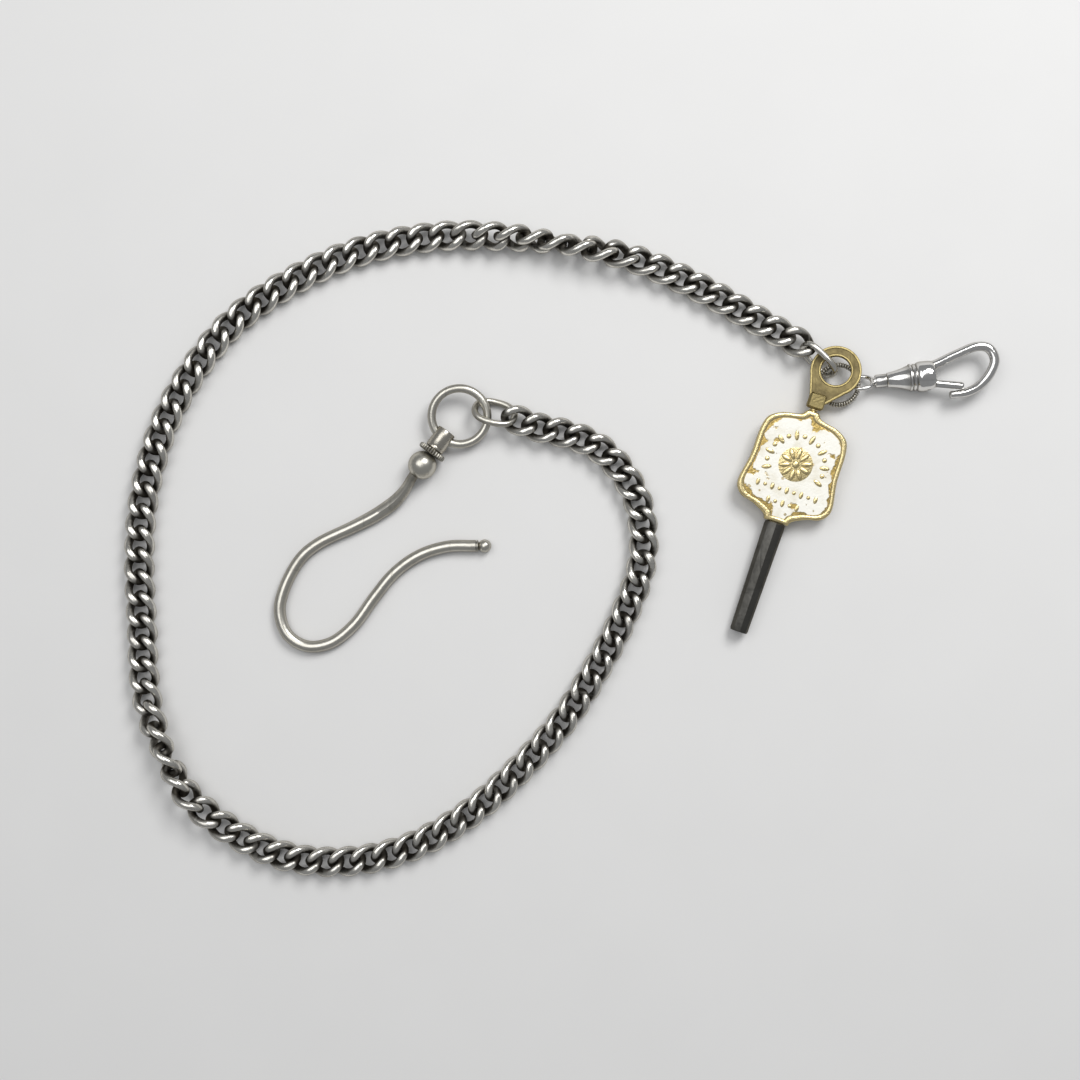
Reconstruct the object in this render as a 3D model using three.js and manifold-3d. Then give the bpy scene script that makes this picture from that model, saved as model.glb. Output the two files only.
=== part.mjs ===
// Gentleman's pocket watch chain, lying on a table: a curb chain with a swivelling buttonhole hook at
// one end, and at the other a spring clasp for the watch and a winding key.
// Millimetres, +Z up. The table is Z = 0 and the origin is under the middle of the laid-out chain.
import * as THREE from 'three';
import { mergeVertices } from 'three/addons/utils/BufferGeometryUtils.js';
import Module from 'manifold-3d';

const wasm = await Module();
wasm.setup();

// ---------------------------------------------------------------- driving dimensions
// Where the middle of the laid-out chain stands in the coordinates of the route below.
const PLAN_CENTRE = new THREE.Vector2(0.29, -0.07);

// Curb link: an oval of round wire, twisted so that its two ends lie a third of a turn apart.
const LINK = { length: 4.6, width: 3.3, wire: 1.26, twist: Math.PI / 3 };
const LINKS_PER_LENGTH = 3;
const LENGTHS = 30;
// Links inside one length are drawn this far apart, so that they bite into each other.
const BITING_PITCH = 3.42;
const LINK_SIDES = 6;
const LINK_STEPS = 8;

// The chain's centreline, from the hook end to the key end.
const ROUTE = [
  [-7.2, 19.6], [-3.6, 18.2], [0.4, 17.3], [5.5, 15.4], [9.35, 11.8], [11.9, 7.2], [12.8, 1.6],
  [12.4, -3.0], [9.9, -10.0], [6.1, -17.4], [1.3, -25.0], [-5.4, -32.6], [-13.6, -39.8],
  [-22.3, -44.6], [-31.4, -46.6], [-40.7, -45.8], [-49.0, -41.8], [-55.2, -36.0], [-58.9, -28.8],
  [-61.3, -21.2], [-61.9, -11.6], [-62.3, -1.0], [-61.6, 7.8], [-58.8, 18.0], [-54.2, 26.6],
  [-48.0, 34.0], [-39.4, 39.9], [-29.6, 44.2], [-18.4, 46.4], [-8.2, 46.2], [3.0, 44.8],
  [12.6, 42.6], [21.6, 38.6], [29.4, 34.2], [37.1, 29.8],
];
// Half a turn of roll in the chain, by where it is centred along the route and how long it takes.
const ROLLS = [{ middle: 130.5, span: 32 }, { middle: 252.0, span: 44 }];
const CHAIN_HALF_THICKNESS = 1.55;
const CHAIN_HALF_WIDTH = 2.3;
// A chain lying on a corner of its section stands a little higher than an oval of the same size would.
const CHAIN_CORNER_HEIGHT = 0.8;
// The ends of the chain climb on to the fittings that they hold.
const HOOK_END_RISE = 0.8;
const KEY_END_RISE = 0.6;
const END_RISE_LENGTH = 9;

// Hook end.
const CONNECTOR = {
  at: [-9.35, 20.23, 2.05], heading: -13.7, length: 6.0, width: 4.37, wire: 0.95, roll: -41.5,
};
const JUMP_RING = { at: [-14.57, 19.64, 2.27], radius: 4.14, wire: 1.24, tilt: 7.2, low: 280 };
const SWIVEL = { ball: [-20.1, 12.4, 2.3], heading: 54, dip: 2 };
const BALL_RADIUS = 2.1;
const COLLAR = { from: 1.98, to: 2.86, radius: 2.15 };
const DRUM = { from: 2.96, to: 6.25, radius: 1.45, bore: 0.95, floor: 0.34, pinHole: 0.46 };
const DRUM_RING_CLEARANCE = 0.2;
const SWIVEL_PIN = { radius: 0.36, headRadius: 0.78, headFrom: 3.4, headTo: 3.86 };
const HOOK_WIRE_RADIUS = 0.88;
const HOOK_ROUTE = [
  [-21.1, 11.4, 2.15], [-21.8, 10.3, 1.9], [-22.7, 8.8, 1.6], [-24.2, 7.1, 1.25], [-27.0, 5.1, 1.05],
  [-30.2, 3.4, 0.95], [-35.8, 0.7, 0.9],
  [-38.3, -1.4, 0.9], [-40.7, -5.7, 0.9], [-41.5, -9.4, 0.9], [-40.3, -12.9, 0.9], [-37.4, -14.6, 0.9],
  [-33.9, -14.1, 0.9], [-30.4, -11.4, 0.9], [-27.3, -7.2, 0.9], [-24.3, -3.6, 0.9], [-20.6, -1.0, 0.92],
  [-16.4, 0.3, 0.96], [-12.2, 0.4, 1.0],
];
const TIP_BEAD = { at: [-10.9, 0.38, 1.04], radius: 1.0 };

// Key end.
const END_LINK = {
  at: [38.8, 28.09, 2.04], heading: -44.8, length: 5.95, width: 3.38, wire: 0.92, roll: 66,
};
const MILLED_RING = { at: [41.81, 24.38, 1.62], radius: 2.95, wire: 0.84, low: 235, tilt: 2.8 };
const BOW = { radius: 3.75, hole: 2.2, thickness: 0.72, centre: [41.2, 26.3], slopeX: 0.15, slopeY: -0.118 };
const BOSS = { at: [38.3, 21.8, 2.92], length: 2.3, width: 2.4, thickness: 1.7 };
const KEY_HEADING = -108.4;
const KEY_DIP = 2.3;
const KEY_PIN = { radius: 0.45, headRadius: 0.62, headLength: 0.45, clearance: 0.1 };
const PLATE = { top: 1.65, length: 17.2, thickness: 1.5, rim: 0.75, recess: 0.2 };
const PIPE = {
  from: 18.9, length: 17.1, bigRadius: 1.58, smallRadius: 1.34, sides: 8, socket: 1.5, depth: 7,
};

// Clasp.
const CLASP = { barrelFace: [55.9, 25.72, 2.38], heading: 5.6, dip: -3.2 };
const CLASP_EYE = { centre: -10.66, halfLength: 1.56, halfHeight: 1.35, wire: 0.64, lean: 45 };
const CLASP_SHANK = { radius: 0.62, headRadius: 1.02, headFrom: -5.0, headTo: -4.45 };
const CLASP_BORE = { rear: 0.76, chamber: 1.16, chamberFrom: -5.2, chamberTo: -4.15, spring: 0.55 };
const CLASP_HOOK_RADIUS = 0.68;
const GATE = {
  pivot: [-0.45, -1.12], tip: [4.05, -1.98], height: 1.5, width: 1.0, channel: 0.7, depth: 0.45,
};
const GATE_SLOT = { length: 1.35, width: 2.4, height: 1.8 };
const GATE_PIN_RADIUS = 0.28;

// ---------------------------------------------------------------- finishes
const metal = (color, roughness) => new THREE.MeshStandardMaterial({ color, roughness, metalness: 1 });
const SILVER = metal(0xa9a59a, 0.35);
const NICKEL = metal(0xc8c6c0, 0.18);
const BRASS = metal(0xa8873f, 0.45);
const STEEL = metal(0x3f3a36, 0.55);

// ---------------------------------------------------------------- helpers
const UP = new THREE.Vector3(0, 0, 1);
const radians = THREE.MathUtils.degToRad;
const vector = (list) => new THREE.Vector3(...list);

/** A frame at a point: X along a heading in plan (degrees from +X), dipping below level, rolled about X. */
function frameAt(point, heading, dip = 0, roll = 0) {
  const turn = new THREE.Matrix4().makeRotationZ(radians(heading));
  turn.multiply(new THREE.Matrix4().makeRotationY(radians(dip)));
  turn.multiply(new THREE.Matrix4().makeRotationX(radians(roll)));
  return turn.setPosition(point);
}

/** A closed geometry as a manifold solid. */
function solid(geometry) {
  const bare = geometry.clone();
  bare.deleteAttribute('normal');
  bare.deleteAttribute('uv');
  const merged = mergeVertices(bare, 1e-5);
  return new wasm.Manifold(new wasm.Mesh({
    numProp: 3,
    vertProperties: new Float32Array(merged.attributes.position.array),
    triVerts: new Uint32Array(merged.index.array),
  }));
}

/** A manifold solid as a three.js geometry. */
function geometryOf(manifold) {
  const mesh = manifold.getMesh();
  const geometry = new THREE.BufferGeometry();
  geometry.setAttribute('position', new THREE.BufferAttribute(mesh.vertProperties, 3));
  geometry.setIndex(new THREE.BufferAttribute(mesh.triVerts, 1));
  geometry.computeVertexNormals();
  return geometry;
}

const joined = (...parts) => parts.map(solid).reduce((whole, part) => whole.add(part));

/** A solid of revolution about +X, from [x, radius] pairs that start and end on the axis. */
function turned(profile, segments) {
  const outline = profile.map(([x, radius]) => new THREE.Vector2(radius, x));
  return new THREE.LatheGeometry(outline, segments).rotateZ(-Math.PI / 2);
}

/** A cylinder along +X between two places. */
function rod(from, to, radius, segments = 16) {
  return turned([[from, 0], [from, radius], [to, radius], [to, 0]], segments);
}

/** A box between two corners. */
function block(low, high) {
  const size = vector(high).sub(vector(low));
  const middle = vector(low).add(vector(high)).multiplyScalar(0.5);
  return new THREE.BoxGeometry(size.x, size.y, size.z).translate(middle.x, middle.y, middle.z);
}

/** A tube of round wire along an open curve. */
function wire(curve, radius, sides, steps) {
  const section = new THREE.Shape();
  for (let side = 0; side < sides; side += 1) {
    const angle = (2 * Math.PI * side) / sides;
    section[side ? 'lineTo' : 'moveTo'](radius * Math.cos(angle), radius * Math.sin(angle));
  }
  section.closePath();
  return new THREE.ExtrudeGeometry(section, { steps, extrudePath: curve });
}

/**
 * An oval link of round wire in the XY plane, long in X, made from a torus of radius 1: each point keeps
 * its place on the wire, while the ring it belongs to becomes an oval. "squareness" of 2 is an ellipse,
 * more gives straighter sides. "twist" turns the two ends about X, half each way.
 */
function ovalLink({ length, width, wire: thickness, twist = 0 }, sides, steps, squareness = 2) {
  const torus = new THREE.TorusGeometry(1, thickness / 2, sides, steps);
  const place = torus.attributes.position;
  const stretch = (value) => Math.sign(value) * Math.abs(value) ** (2 / squareness);
  for (let i = 0; i < place.count; i += 1) {
    const angle = Math.atan2(place.getY(i), place.getX(i));
    const outward = Math.hypot(place.getX(i), place.getY(i)) - 1;
    const middle = new THREE.Vector2(stretch(Math.cos(angle)) * length, stretch(Math.sin(angle)) * width);
    middle.multiplyScalar(0.5);
    const normal = new THREE.Vector2(Math.cos(angle) * width, Math.sin(angle) * length).normalize();
    const turn = -twist * (2 * middle.x) / length;
    middle.addScaledVector(normal, outward);
    const point = new THREE.Vector3(middle.x, middle.y, place.getZ(i));
    point.applyAxisAngle(new THREE.Vector3(1, 0, 0), turn);
    place.setXYZ(i, point.x, point.y, point.z);
  }
  return torus;
}

const watchChain = new THREE.Group();
watchChain.position.set(-PLAN_CENTRE.x, -PLAN_CENTRE.y, 0);

/** Adds a named piece, modelled in a frame's own coordinates. */
function addPiece(name, geometry, material, frame = new THREE.Matrix4()) {
  const mesh = new THREE.Mesh(geometry, material);
  mesh.name = name;
  mesh.applyMatrix4(frame);
  watchChain.add(mesh);
}

// ---------------------------------------------------------------- chain
const stations = ROUTE.map(([x, y]) => new THREE.Vector3(x, y, 0));
const route = new THREE.CatmullRomCurve3(stations, false, 'centripetal');
route.arcLengthDivisions = 2000;
const routeLength = route.getLength();
const linkCount = LENGTHS * LINKS_PER_LENGTH;
const pitch = routeLength / linkCount;

/** How far the chain is rolled about its centreline at a distance along it. */
function rollAt(distance) {
  return ROLLS.reduce((sum, { middle, span }) => (
    sum + Math.PI * THREE.MathUtils.smoothstep(distance, middle - span / 2, middle + span / 2)
  ), 0);
}

/** How high the chain's centre lies: half its height as it is rolled, and more at the climbing ends. */
function heightAt(distance) {
  const roll = rollAt(distance);
  const oval = Math.hypot(CHAIN_HALF_THICKNESS * Math.cos(roll), CHAIN_HALF_WIDTH * Math.sin(roll));
  const lying = oval + CHAIN_CORNER_HEIGHT * Math.abs(Math.sin(2 * roll));
  const toHook = 1 - THREE.MathUtils.smoothstep(distance, 0, END_RISE_LENGTH);
  const toKey = THREE.MathUtils.smoothstep(distance, routeLength - END_RISE_LENGTH, routeLength);
  return lying + HOOK_END_RISE * toHook + KEY_END_RISE * toKey;
}

/** A point of the chain's centreline. */
function chainPoint(distance) {
  const inside = THREE.MathUtils.clamp(distance, 0, routeLength);
  return route.getPointAt(inside / routeLength).setZ(heightAt(inside));
}

/** The frame of a piece of chain centred at a distance: X along the chain, Z up at no roll. */
function chainFrame(distance) {
  const ahead = chainPoint(distance + pitch / 2).sub(chainPoint(distance - pitch / 2)).normalize();
  const across = new THREE.Vector3().crossVectors(UP, ahead).normalize();
  const above = new THREE.Vector3().crossVectors(ahead, across);
  const frame = new THREE.Matrix4().makeBasis(ahead, across, above);
  frame.multiply(new THREE.Matrix4().makeRotationX(rollAt(distance)));
  return frame.setPosition(chainPoint(distance));
}

const lengthName = (index) => `chain_length_${String(index + 1).padStart(2, '0')}`;
const curbLink = ovalLink(LINK, LINK_SIDES, LINK_STEPS, 2.4);
for (let length = 0; length < LENGTHS; length += 1) {
  const middle = (length + 0.5) * LINKS_PER_LENGTH * pitch;
  const frames = [-1, 0, 1].map((step) => chainFrame(middle + step * BITING_PITCH));
  const links = frames.map((frame) => curbLink.clone().applyMatrix4(frame));
  addPiece(lengthName(length), geometryOf(joined(...links)), SILVER);
}

// ---------------------------------------------------------------- hook end
const connectorFrame = frameAt(vector(CONNECTOR.at), CONNECTOR.heading, 0, CONNECTOR.roll);
addPiece('connector_link', ovalLink(CONNECTOR, 8, 20, 2.4), SILVER, connectorFrame);

// The jump ring rests on the drum and the connector link; its low side is where "low" points in plan.
const jumpRingFrame = frameAt(vector(JUMP_RING.at), JUMP_RING.low, JUMP_RING.tilt);
addPiece(
  'jump_ring', new THREE.TorusGeometry(JUMP_RING.radius, JUMP_RING.wire / 2, 8, 28), SILVER, jumpRingFrame,
);

// The swivel's frame: X runs from the ball towards the jump ring.
const swivelFrame = frameAt(vector(SWIVEL.ball), SWIVEL.heading, SWIVEL.dip);
const drumBlank = solid(turned([
  [DRUM.from, 0], [DRUM.from, DRUM.radius], [DRUM.to, DRUM.radius], [DRUM.to, DRUM.bore],
  [DRUM.from + DRUM.floor, DRUM.bore], [DRUM.from + DRUM.floor, 0],
], 16));
const drumPinHole = solid(rod(DRUM.from - 1, DRUM.from + 1, DRUM.pinHole, 12));
const ringPassage = solid(
  new THREE.TorusGeometry(JUMP_RING.radius, JUMP_RING.wire / 2 + DRUM_RING_CLEARANCE, 8, 28)
    .applyMatrix4(jumpRingFrame)
    .applyMatrix4(swivelFrame.clone().invert()),
);
addPiece(
  'swivel_drum', geometryOf(drumBlank.subtract(drumPinHole).subtract(ringPassage)), SILVER, swivelFrame,
);
addPiece('swivel_pin', turned([
  [COLLAR.to + 0.02, 0], [COLLAR.to + 0.02, SWIVEL_PIN.radius], [SWIVEL_PIN.headFrom, SWIVEL_PIN.radius],
  [SWIVEL_PIN.headFrom, SWIVEL_PIN.headRadius], [SWIVEL_PIN.headTo, SWIVEL_PIN.headRadius * 0.8],
  [SWIVEL_PIN.headTo, 0],
], 12), SILVER, swivelFrame);
addPiece('swivel_collar', rod(COLLAR.from + 0.06, COLLAR.to, COLLAR.radius, 18), SILVER, swivelFrame);

// The ball has a flat where the collar sits, and a socket where the hook's wire enters.
const hookCurve = new THREE.CatmullRomCurve3(HOOK_ROUTE.map(vector), false, 'centripetal');
const hookInSwivel = (geometry) => geometry.applyMatrix4(swivelFrame.clone().invert());
const ballSocket = solid(hookInSwivel(wire(hookCurve, HOOK_WIRE_RADIUS + 0.04, 8, 40)));
const ballFlat = solid(block([COLLAR.from, -3, -3], [COLLAR.from + 2, 3, 3]));
const ballSocketEnd = ballSocket.translate([0.06, 0, 0]);
const ball = solid(new THREE.SphereGeometry(BALL_RADIUS, 16, 10))
  .subtract(ballFlat)
  .subtract(ballSocket)
  .subtract(ballSocketEnd);
addPiece('hook_ball', geometryOf(ball), SILVER, swivelFrame);
addPiece('hook_wire', wire(hookCurve, HOOK_WIRE_RADIUS, 8, 40), SILVER);
addPiece(
  'hook_tip_bead', new THREE.SphereGeometry(TIP_BEAD.radius, 12, 8), SILVER, frameAt(vector(TIP_BEAD.at), 0),
);

// ---------------------------------------------------------------- key end
const endLinkFrame = frameAt(vector(END_LINK.at), END_LINK.heading, 0, END_LINK.roll);
addPiece('end_link', ovalLink(END_LINK, 8, 20, 3), SILVER, endLinkFrame);

const milledRingFrame = frameAt(vector(MILLED_RING.at), MILLED_RING.low, MILLED_RING.tilt);
const ringWire = new THREE.TorusGeometry(MILLED_RING.radius, MILLED_RING.wire / 2, 8, 24);
addPiece('milled_ring', ringWire, SILVER, milledRingFrame);

// The key's own frame: X runs down the key from its swivel at the bow's boss, Y to its right, Z up.
const keyFrame = frameAt(vector(BOSS.at), KEY_HEADING, KEY_DIP);
const bossHalf = BOSS.length / 2;

// The bow is a flat ring that leans up to the right, with shoulders that run down to the boss.
const bossPoint = vector(BOSS.at);
const bowHeight = (x, y) => bossPoint.z + BOW.slopeX * (x - bossPoint.x) + BOW.slopeY * (y - bossPoint.y);
const bowNormal = new THREE.Vector3(-BOW.slopeX, -BOW.slopeY, 1).normalize();
const bowCentre = new THREE.Vector3(...BOW.centre, bowHeight(...BOW.centre));
const towardsBoss = bossPoint.clone().sub(bowCentre).projectOnPlane(bowNormal);
const bowReach = towardsBoss.length();
const bowFrame = new THREE.Matrix4().makeBasis(
  towardsBoss.clone().normalize(),
  new THREE.Vector3().crossVectors(bowNormal, towardsBoss).normalize(),
  bowNormal,
).setPosition(bowCentre);

/** The bow's outline: a ring whose sides run in straight shoulders to the width of the boss. */
function bowShape() {
  const shoulder = radians(52);
  const outline = new THREE.Shape();
  outline.moveTo(bowReach, -BOSS.width / 2);
  outline.lineTo(bowReach, BOSS.width / 2);
  outline.absarc(0, 0, BOW.radius, shoulder, 2 * Math.PI - shoulder, false);
  outline.closePath();
  const hole = new THREE.Path();
  hole.absarc(0, 0, BOW.hole, 0, 2 * Math.PI, true);
  outline.holes.push(hole);
  return outline;
}
const bowRing = new THREE.ExtrudeGeometry(bowShape(), {
  depth: BOW.thickness, bevelEnabled: false, curveSegments: 14,
});
bowRing.translate(0, 0, -BOW.thickness / 2).applyMatrix4(bowFrame).applyMatrix4(keyFrame.clone().invert());
const bossBlock = block(
  [-bossHalf, -BOSS.width / 2, -BOSS.thickness / 2], [bossHalf, BOSS.width / 2, BOSS.thickness / 2],
);
// The pin's bore opens into a pocket in the boss's underside, where the pin's head turns.
const pinBore = rod(0, bossHalf + 1, KEY_PIN.radius + KEY_PIN.clearance, 12);
const pocketHalf = KEY_PIN.headRadius + KEY_PIN.clearance;
const headFrom = 0.05 - KEY_PIN.headLength;
const headPocket = block(
  [headFrom - KEY_PIN.clearance, -pocketHalf, -BOSS.thickness],
  [0.05 + KEY_PIN.clearance, pocketHalf, pocketHalf],
);
addPiece(
  'key_bow', geometryOf(joined(bowRing, bossBlock).subtract(solid(pinBore)).subtract(solid(headPocket))),
  BRASS, keyFrame,
);
addPiece('key_swivel_pin', turned([
  [headFrom, 0], [headFrom, KEY_PIN.headRadius], [0.05, KEY_PIN.headRadius], [0.05, KEY_PIN.radius],
  [PLATE.top - 0.02, KEY_PIN.radius], [PLATE.top - 0.02, 0],
], 12), BRASS, keyFrame);

/** The plate's outline, drawn down its right side and up its left, "inset" inside its edge. */
function plateShape(inset) {
  const half = [
    [0, 0.85], [0.75, 1.5], [1.5, 4.4], [2.6, 6.0], [4.2, 6.5], [8.8, 6.65], [13.4, 7.2], [14.8, 6.2],
    [15.5, 4.0], [16.6, 2.0], [17.2, 1.75],
  ];
  const centre = PLATE.length / 2;
  const shrink = (u) => centre + (u - centre) * (1 - inset / centre);
  const side = half.map(([u, v]) => new THREE.Vector2(shrink(u), Math.max(v - inset, 0.15)));
  const outline = new THREE.Shape();
  outline.moveTo(side[0].x, side[0].y);
  outline.splineThru(side.slice(1));
  outline.lineTo(side.at(-1).x, -side.at(-1).y);
  outline.splineThru(side.slice(0, -1).reverse().map((point) => new THREE.Vector2(point.x, -point.y)));
  outline.closePath();
  return outline;
}

/** The plate's outline as a slab between two heights. */
function plateSlab(inset, low, high) {
  const slab = new THREE.ExtrudeGeometry(plateShape(inset), {
    depth: high - low, bevelEnabled: false, curveSegments: 2,
  });
  return slab.translate(PLATE.top, 0, low);
}
const plateHalf = PLATE.thickness / 2;
const plate = solid(plateSlab(0, -plateHalf, plateHalf))
  .subtract(solid(plateSlab(PLATE.rim, plateHalf - PLATE.recess, plateHalf + 1)))
  .subtract(solid(plateSlab(PLATE.rim, -plateHalf - 1, PLATE.recess - plateHalf)));
addPiece('key_plate', geometryOf(plate), BRASS, keyFrame);

// The pipe is a tapered steel tube with flats and a square socket that winds the watch.
const pipeEnd = PIPE.from + PIPE.length;
const pipe = solid(turned([
  [PIPE.from, 0], [PIPE.from, PIPE.bigRadius], [pipeEnd, PIPE.smallRadius], [pipeEnd, 0],
], PIPE.sides));
const socket = solid(block(
  [pipeEnd - PIPE.depth, -PIPE.socket / 2, -PIPE.socket / 2], [pipeEnd + 1, PIPE.socket / 2, PIPE.socket / 2],
));
addPiece('key_pipe', geometryOf(pipe.subtract(socket)), STEEL, keyFrame);

// ---------------------------------------------------------------- clasp
// The clasp's frame: X runs from the eye to the hook and is 0 at the barrel's face, Y across, Z up.
const claspFrame = frameAt(vector(CLASP.barrelFace), CLASP.heading, CLASP.dip);
const eyeLink = ovalLink({
  length: 2 * CLASP_EYE.halfLength, width: 2 * CLASP_EYE.halfHeight, wire: CLASP_EYE.wire,
}, 8, 16, 2.2);
eyeLink.rotateX(THREE.MathUtils.degToRad(90 + CLASP_EYE.lean)).translate(CLASP_EYE.centre, 0, 0);
const eyeEnd = CLASP_EYE.centre + CLASP_EYE.halfLength;
const shank = turned([
  [eyeEnd, 0], [eyeEnd, CLASP_SHANK.radius], [CLASP_SHANK.headFrom, CLASP_SHANK.radius],
  [CLASP_SHANK.headFrom, CLASP_SHANK.headRadius], [CLASP_SHANK.headTo, CLASP_SHANK.headRadius],
  [CLASP_SHANK.headTo, 0],
], 16);
addPiece('clasp_eye', geometryOf(joined(eyeLink, shank)), NICKEL, claspFrame);

// Cone, two fine collars and a barrel with a rounded shoulder.
const body = solid(turned([
  [-8.7, 0], [-8.7, 0.9], [-8.6, 0.96], [-7.1, 0.96], [-6.9, 1.06],
  [-3.85, 1.86], [-3.75, 2.02], [-3.5, 2.02], [-3.4, 1.88],
  [-3.25, 1.88], [-3.15, 2.02], [-2.9, 2.02], [-2.8, 1.9], [-2.6, 2.12], [-2.2, 2.25], [-0.8, 2.25],
  [-0.25, 2.12], [0, 1.85], [0, 0],
], 16));
const bores = [
  rod(-10, -5, CLASP_BORE.rear, 14),
  rod(CLASP_BORE.chamberFrom, CLASP_BORE.chamberTo, CLASP_BORE.chamber, 14),
  rod(CLASP_BORE.chamberTo - 0.5, -1, CLASP_BORE.spring, 12),
  block(
    [-GATE_SLOT.length, -GATE_SLOT.width, -GATE_SLOT.height / 2], [1, -0.35, GATE_SLOT.height / 2],
  ),
  rod(-3, 3, GATE_PIN_RADIUS + 0.04, 12).rotateY(Math.PI / 2).translate(GATE.pivot[0], GATE.pivot[1], 0),
];
// The hook: out of the barrel's face, round the end of the loop and back to a nose outside the gate.
const claspCurve = new THREE.CatmullRomCurve3([
  [-1.25, 1.36, 0], [0.0, 1.5, 0], [3.4, 2.7, 0], [6.7, 3.6, 0], [8.3, 3.15, 0], [9.0, 1.4, 0],
  [8.0, -0.75, 0], [6.2, -2.35, 0], [4.3, -3.05, 0], [2.1, -3.15, 0],
].map(vector), false, 'centripetal');
const hookSocket = solid(wire(claspCurve, CLASP_HOOK_RADIUS + 0.04, 8, 26));
const hookSocketEnd = hookSocket.translate([-0.08, -0.01, 0]);
const boredBody = bores.reduce((whole, bore) => whole.subtract(solid(bore)), body);
const claspBody = boredBody.subtract(hookSocket).subtract(hookSocketEnd);
addPiece('clasp_body', geometryOf(claspBody), NICKEL, claspFrame);
addPiece('clasp_hook', wire(claspCurve, CLASP_HOOK_RADIUS, 8, 26), NICKEL, claspFrame);

// The gate is a channel whose tip rests inside the nose; it swings inwards on its pin.
const gateAlong = new THREE.Vector2(GATE.tip[0] - GATE.pivot[0], GATE.tip[1] - GATE.pivot[1]);
const gateBar = block(
  [-0.5, -GATE.width / 2, -GATE.height / 2],
  [gateAlong.length(), GATE.width / 2, GATE.height / 2],
);
const gateCuts = [
  block(
    [1.3, -1, -GATE.channel / 2],
    [gateAlong.length() + 1, GATE.depth - GATE.width / 2, GATE.channel / 2],
  ),
  rod(-3, 3, GATE_PIN_RADIUS + 0.04, 12).rotateY(Math.PI / 2),
];
const gate = gateCuts.reduce((whole, cut) => whole.subtract(solid(cut)), solid(gateBar));
const gateFrame = new THREE.Matrix4().makeRotationZ(gateAlong.angle()).setPosition(...GATE.pivot, 0);
addPiece('clasp_gate', geometryOf(gate), NICKEL, gateFrame.premultiply(claspFrame));
addPiece(
  'clasp_gate_pin', rod(-1.84, 1.84, GATE_PIN_RADIUS, 12).rotateY(Math.PI / 2).translate(...GATE.pivot, 0),
  NICKEL, claspFrame,
);
addPiece('clasp_spring', rod(-3.9, -1.5, CLASP_BORE.spring - 0.12, 10), STEEL, claspFrame);

export default watchChain;
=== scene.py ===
"""Looks of a pocket watch chain: curb links, a buttonhole hook, a winding key and a spring clasp.

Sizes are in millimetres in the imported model's frame, and every mesh is made in metres.
"""
import logging
import math
import random
from dataclasses import dataclass, field
from enum import Enum

import bmesh
import bpy
import numpy as np
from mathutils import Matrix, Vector


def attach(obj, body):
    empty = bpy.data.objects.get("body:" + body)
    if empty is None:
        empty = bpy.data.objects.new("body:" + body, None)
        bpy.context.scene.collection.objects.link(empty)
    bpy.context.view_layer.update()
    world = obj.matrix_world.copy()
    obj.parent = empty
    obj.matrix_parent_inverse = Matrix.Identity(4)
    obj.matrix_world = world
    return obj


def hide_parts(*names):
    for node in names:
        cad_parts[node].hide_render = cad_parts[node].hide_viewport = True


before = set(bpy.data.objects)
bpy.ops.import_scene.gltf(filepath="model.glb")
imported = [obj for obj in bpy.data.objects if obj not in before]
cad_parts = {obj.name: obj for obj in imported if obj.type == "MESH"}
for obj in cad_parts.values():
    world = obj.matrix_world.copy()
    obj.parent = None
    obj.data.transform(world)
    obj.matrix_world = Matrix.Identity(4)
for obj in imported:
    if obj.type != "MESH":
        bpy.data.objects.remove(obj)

logging.basicConfig(level=logging.INFO, format="%(name)s: %(message)s")
LOG = logging.getLogger("watch_chain")

MM = 0.001
PLAN_CENTRE = (0.29, -0.07)
Array = np.ndarray
Pair = tuple[float, float]
Triple = tuple[float, float, float]
Colour = tuple[float, float, float]


class Slot(Enum):
    """The record's material slots."""

    AGED_SILVER = "aged_silver"
    POLISHED_SILVER = "polished_silver"
    BRIGHT_NICKEL = "bright_nickel"
    AGED_BRASS = "aged_brass"
    DARK_STEEL = "dark_steel"


# ------------------------------------------------------------------ shapes
def placement(at: Triple, heading: float, dip: float = 0.0, roll: float = 0.0) -> Array:
    """A frame at a point: X along a heading in plan, dipping below level, rolled about X.

    Args:
        at: The frame's origin, in millimetres.
        heading: Degrees from +X, in plan.
        dip: Degrees that X points below level.
        roll: Degrees about X.

    Returns:
        A 4 by 4 matrix.
    """
    h, d, r = (math.radians(angle) for angle in (heading, dip, roll))
    turn_z = np.array([[math.cos(h), -math.sin(h), 0], [math.sin(h), math.cos(h), 0], [0, 0, 1]])
    turn_y = np.array([[math.cos(d), 0, math.sin(d)], [0, 1, 0], [-math.sin(d), 0, math.cos(d)]])
    turn_x = np.array([[1, 0, 0], [0, math.cos(r), -math.sin(r)], [0, math.sin(r), math.cos(r)]])
    matrix = np.eye(4)
    matrix[:3, :3] = turn_z @ turn_y @ turn_x
    matrix[:3, 3] = at
    return matrix


def smoothstep(value: Array | float, low: float, high: float) -> Array | float:
    """0 below low, 1 above high and a smooth rise between them."""
    t = np.clip((np.asarray(value, float) - low) / (high - low), 0, 1)
    return t * t * (3 - 2 * t)


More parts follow.
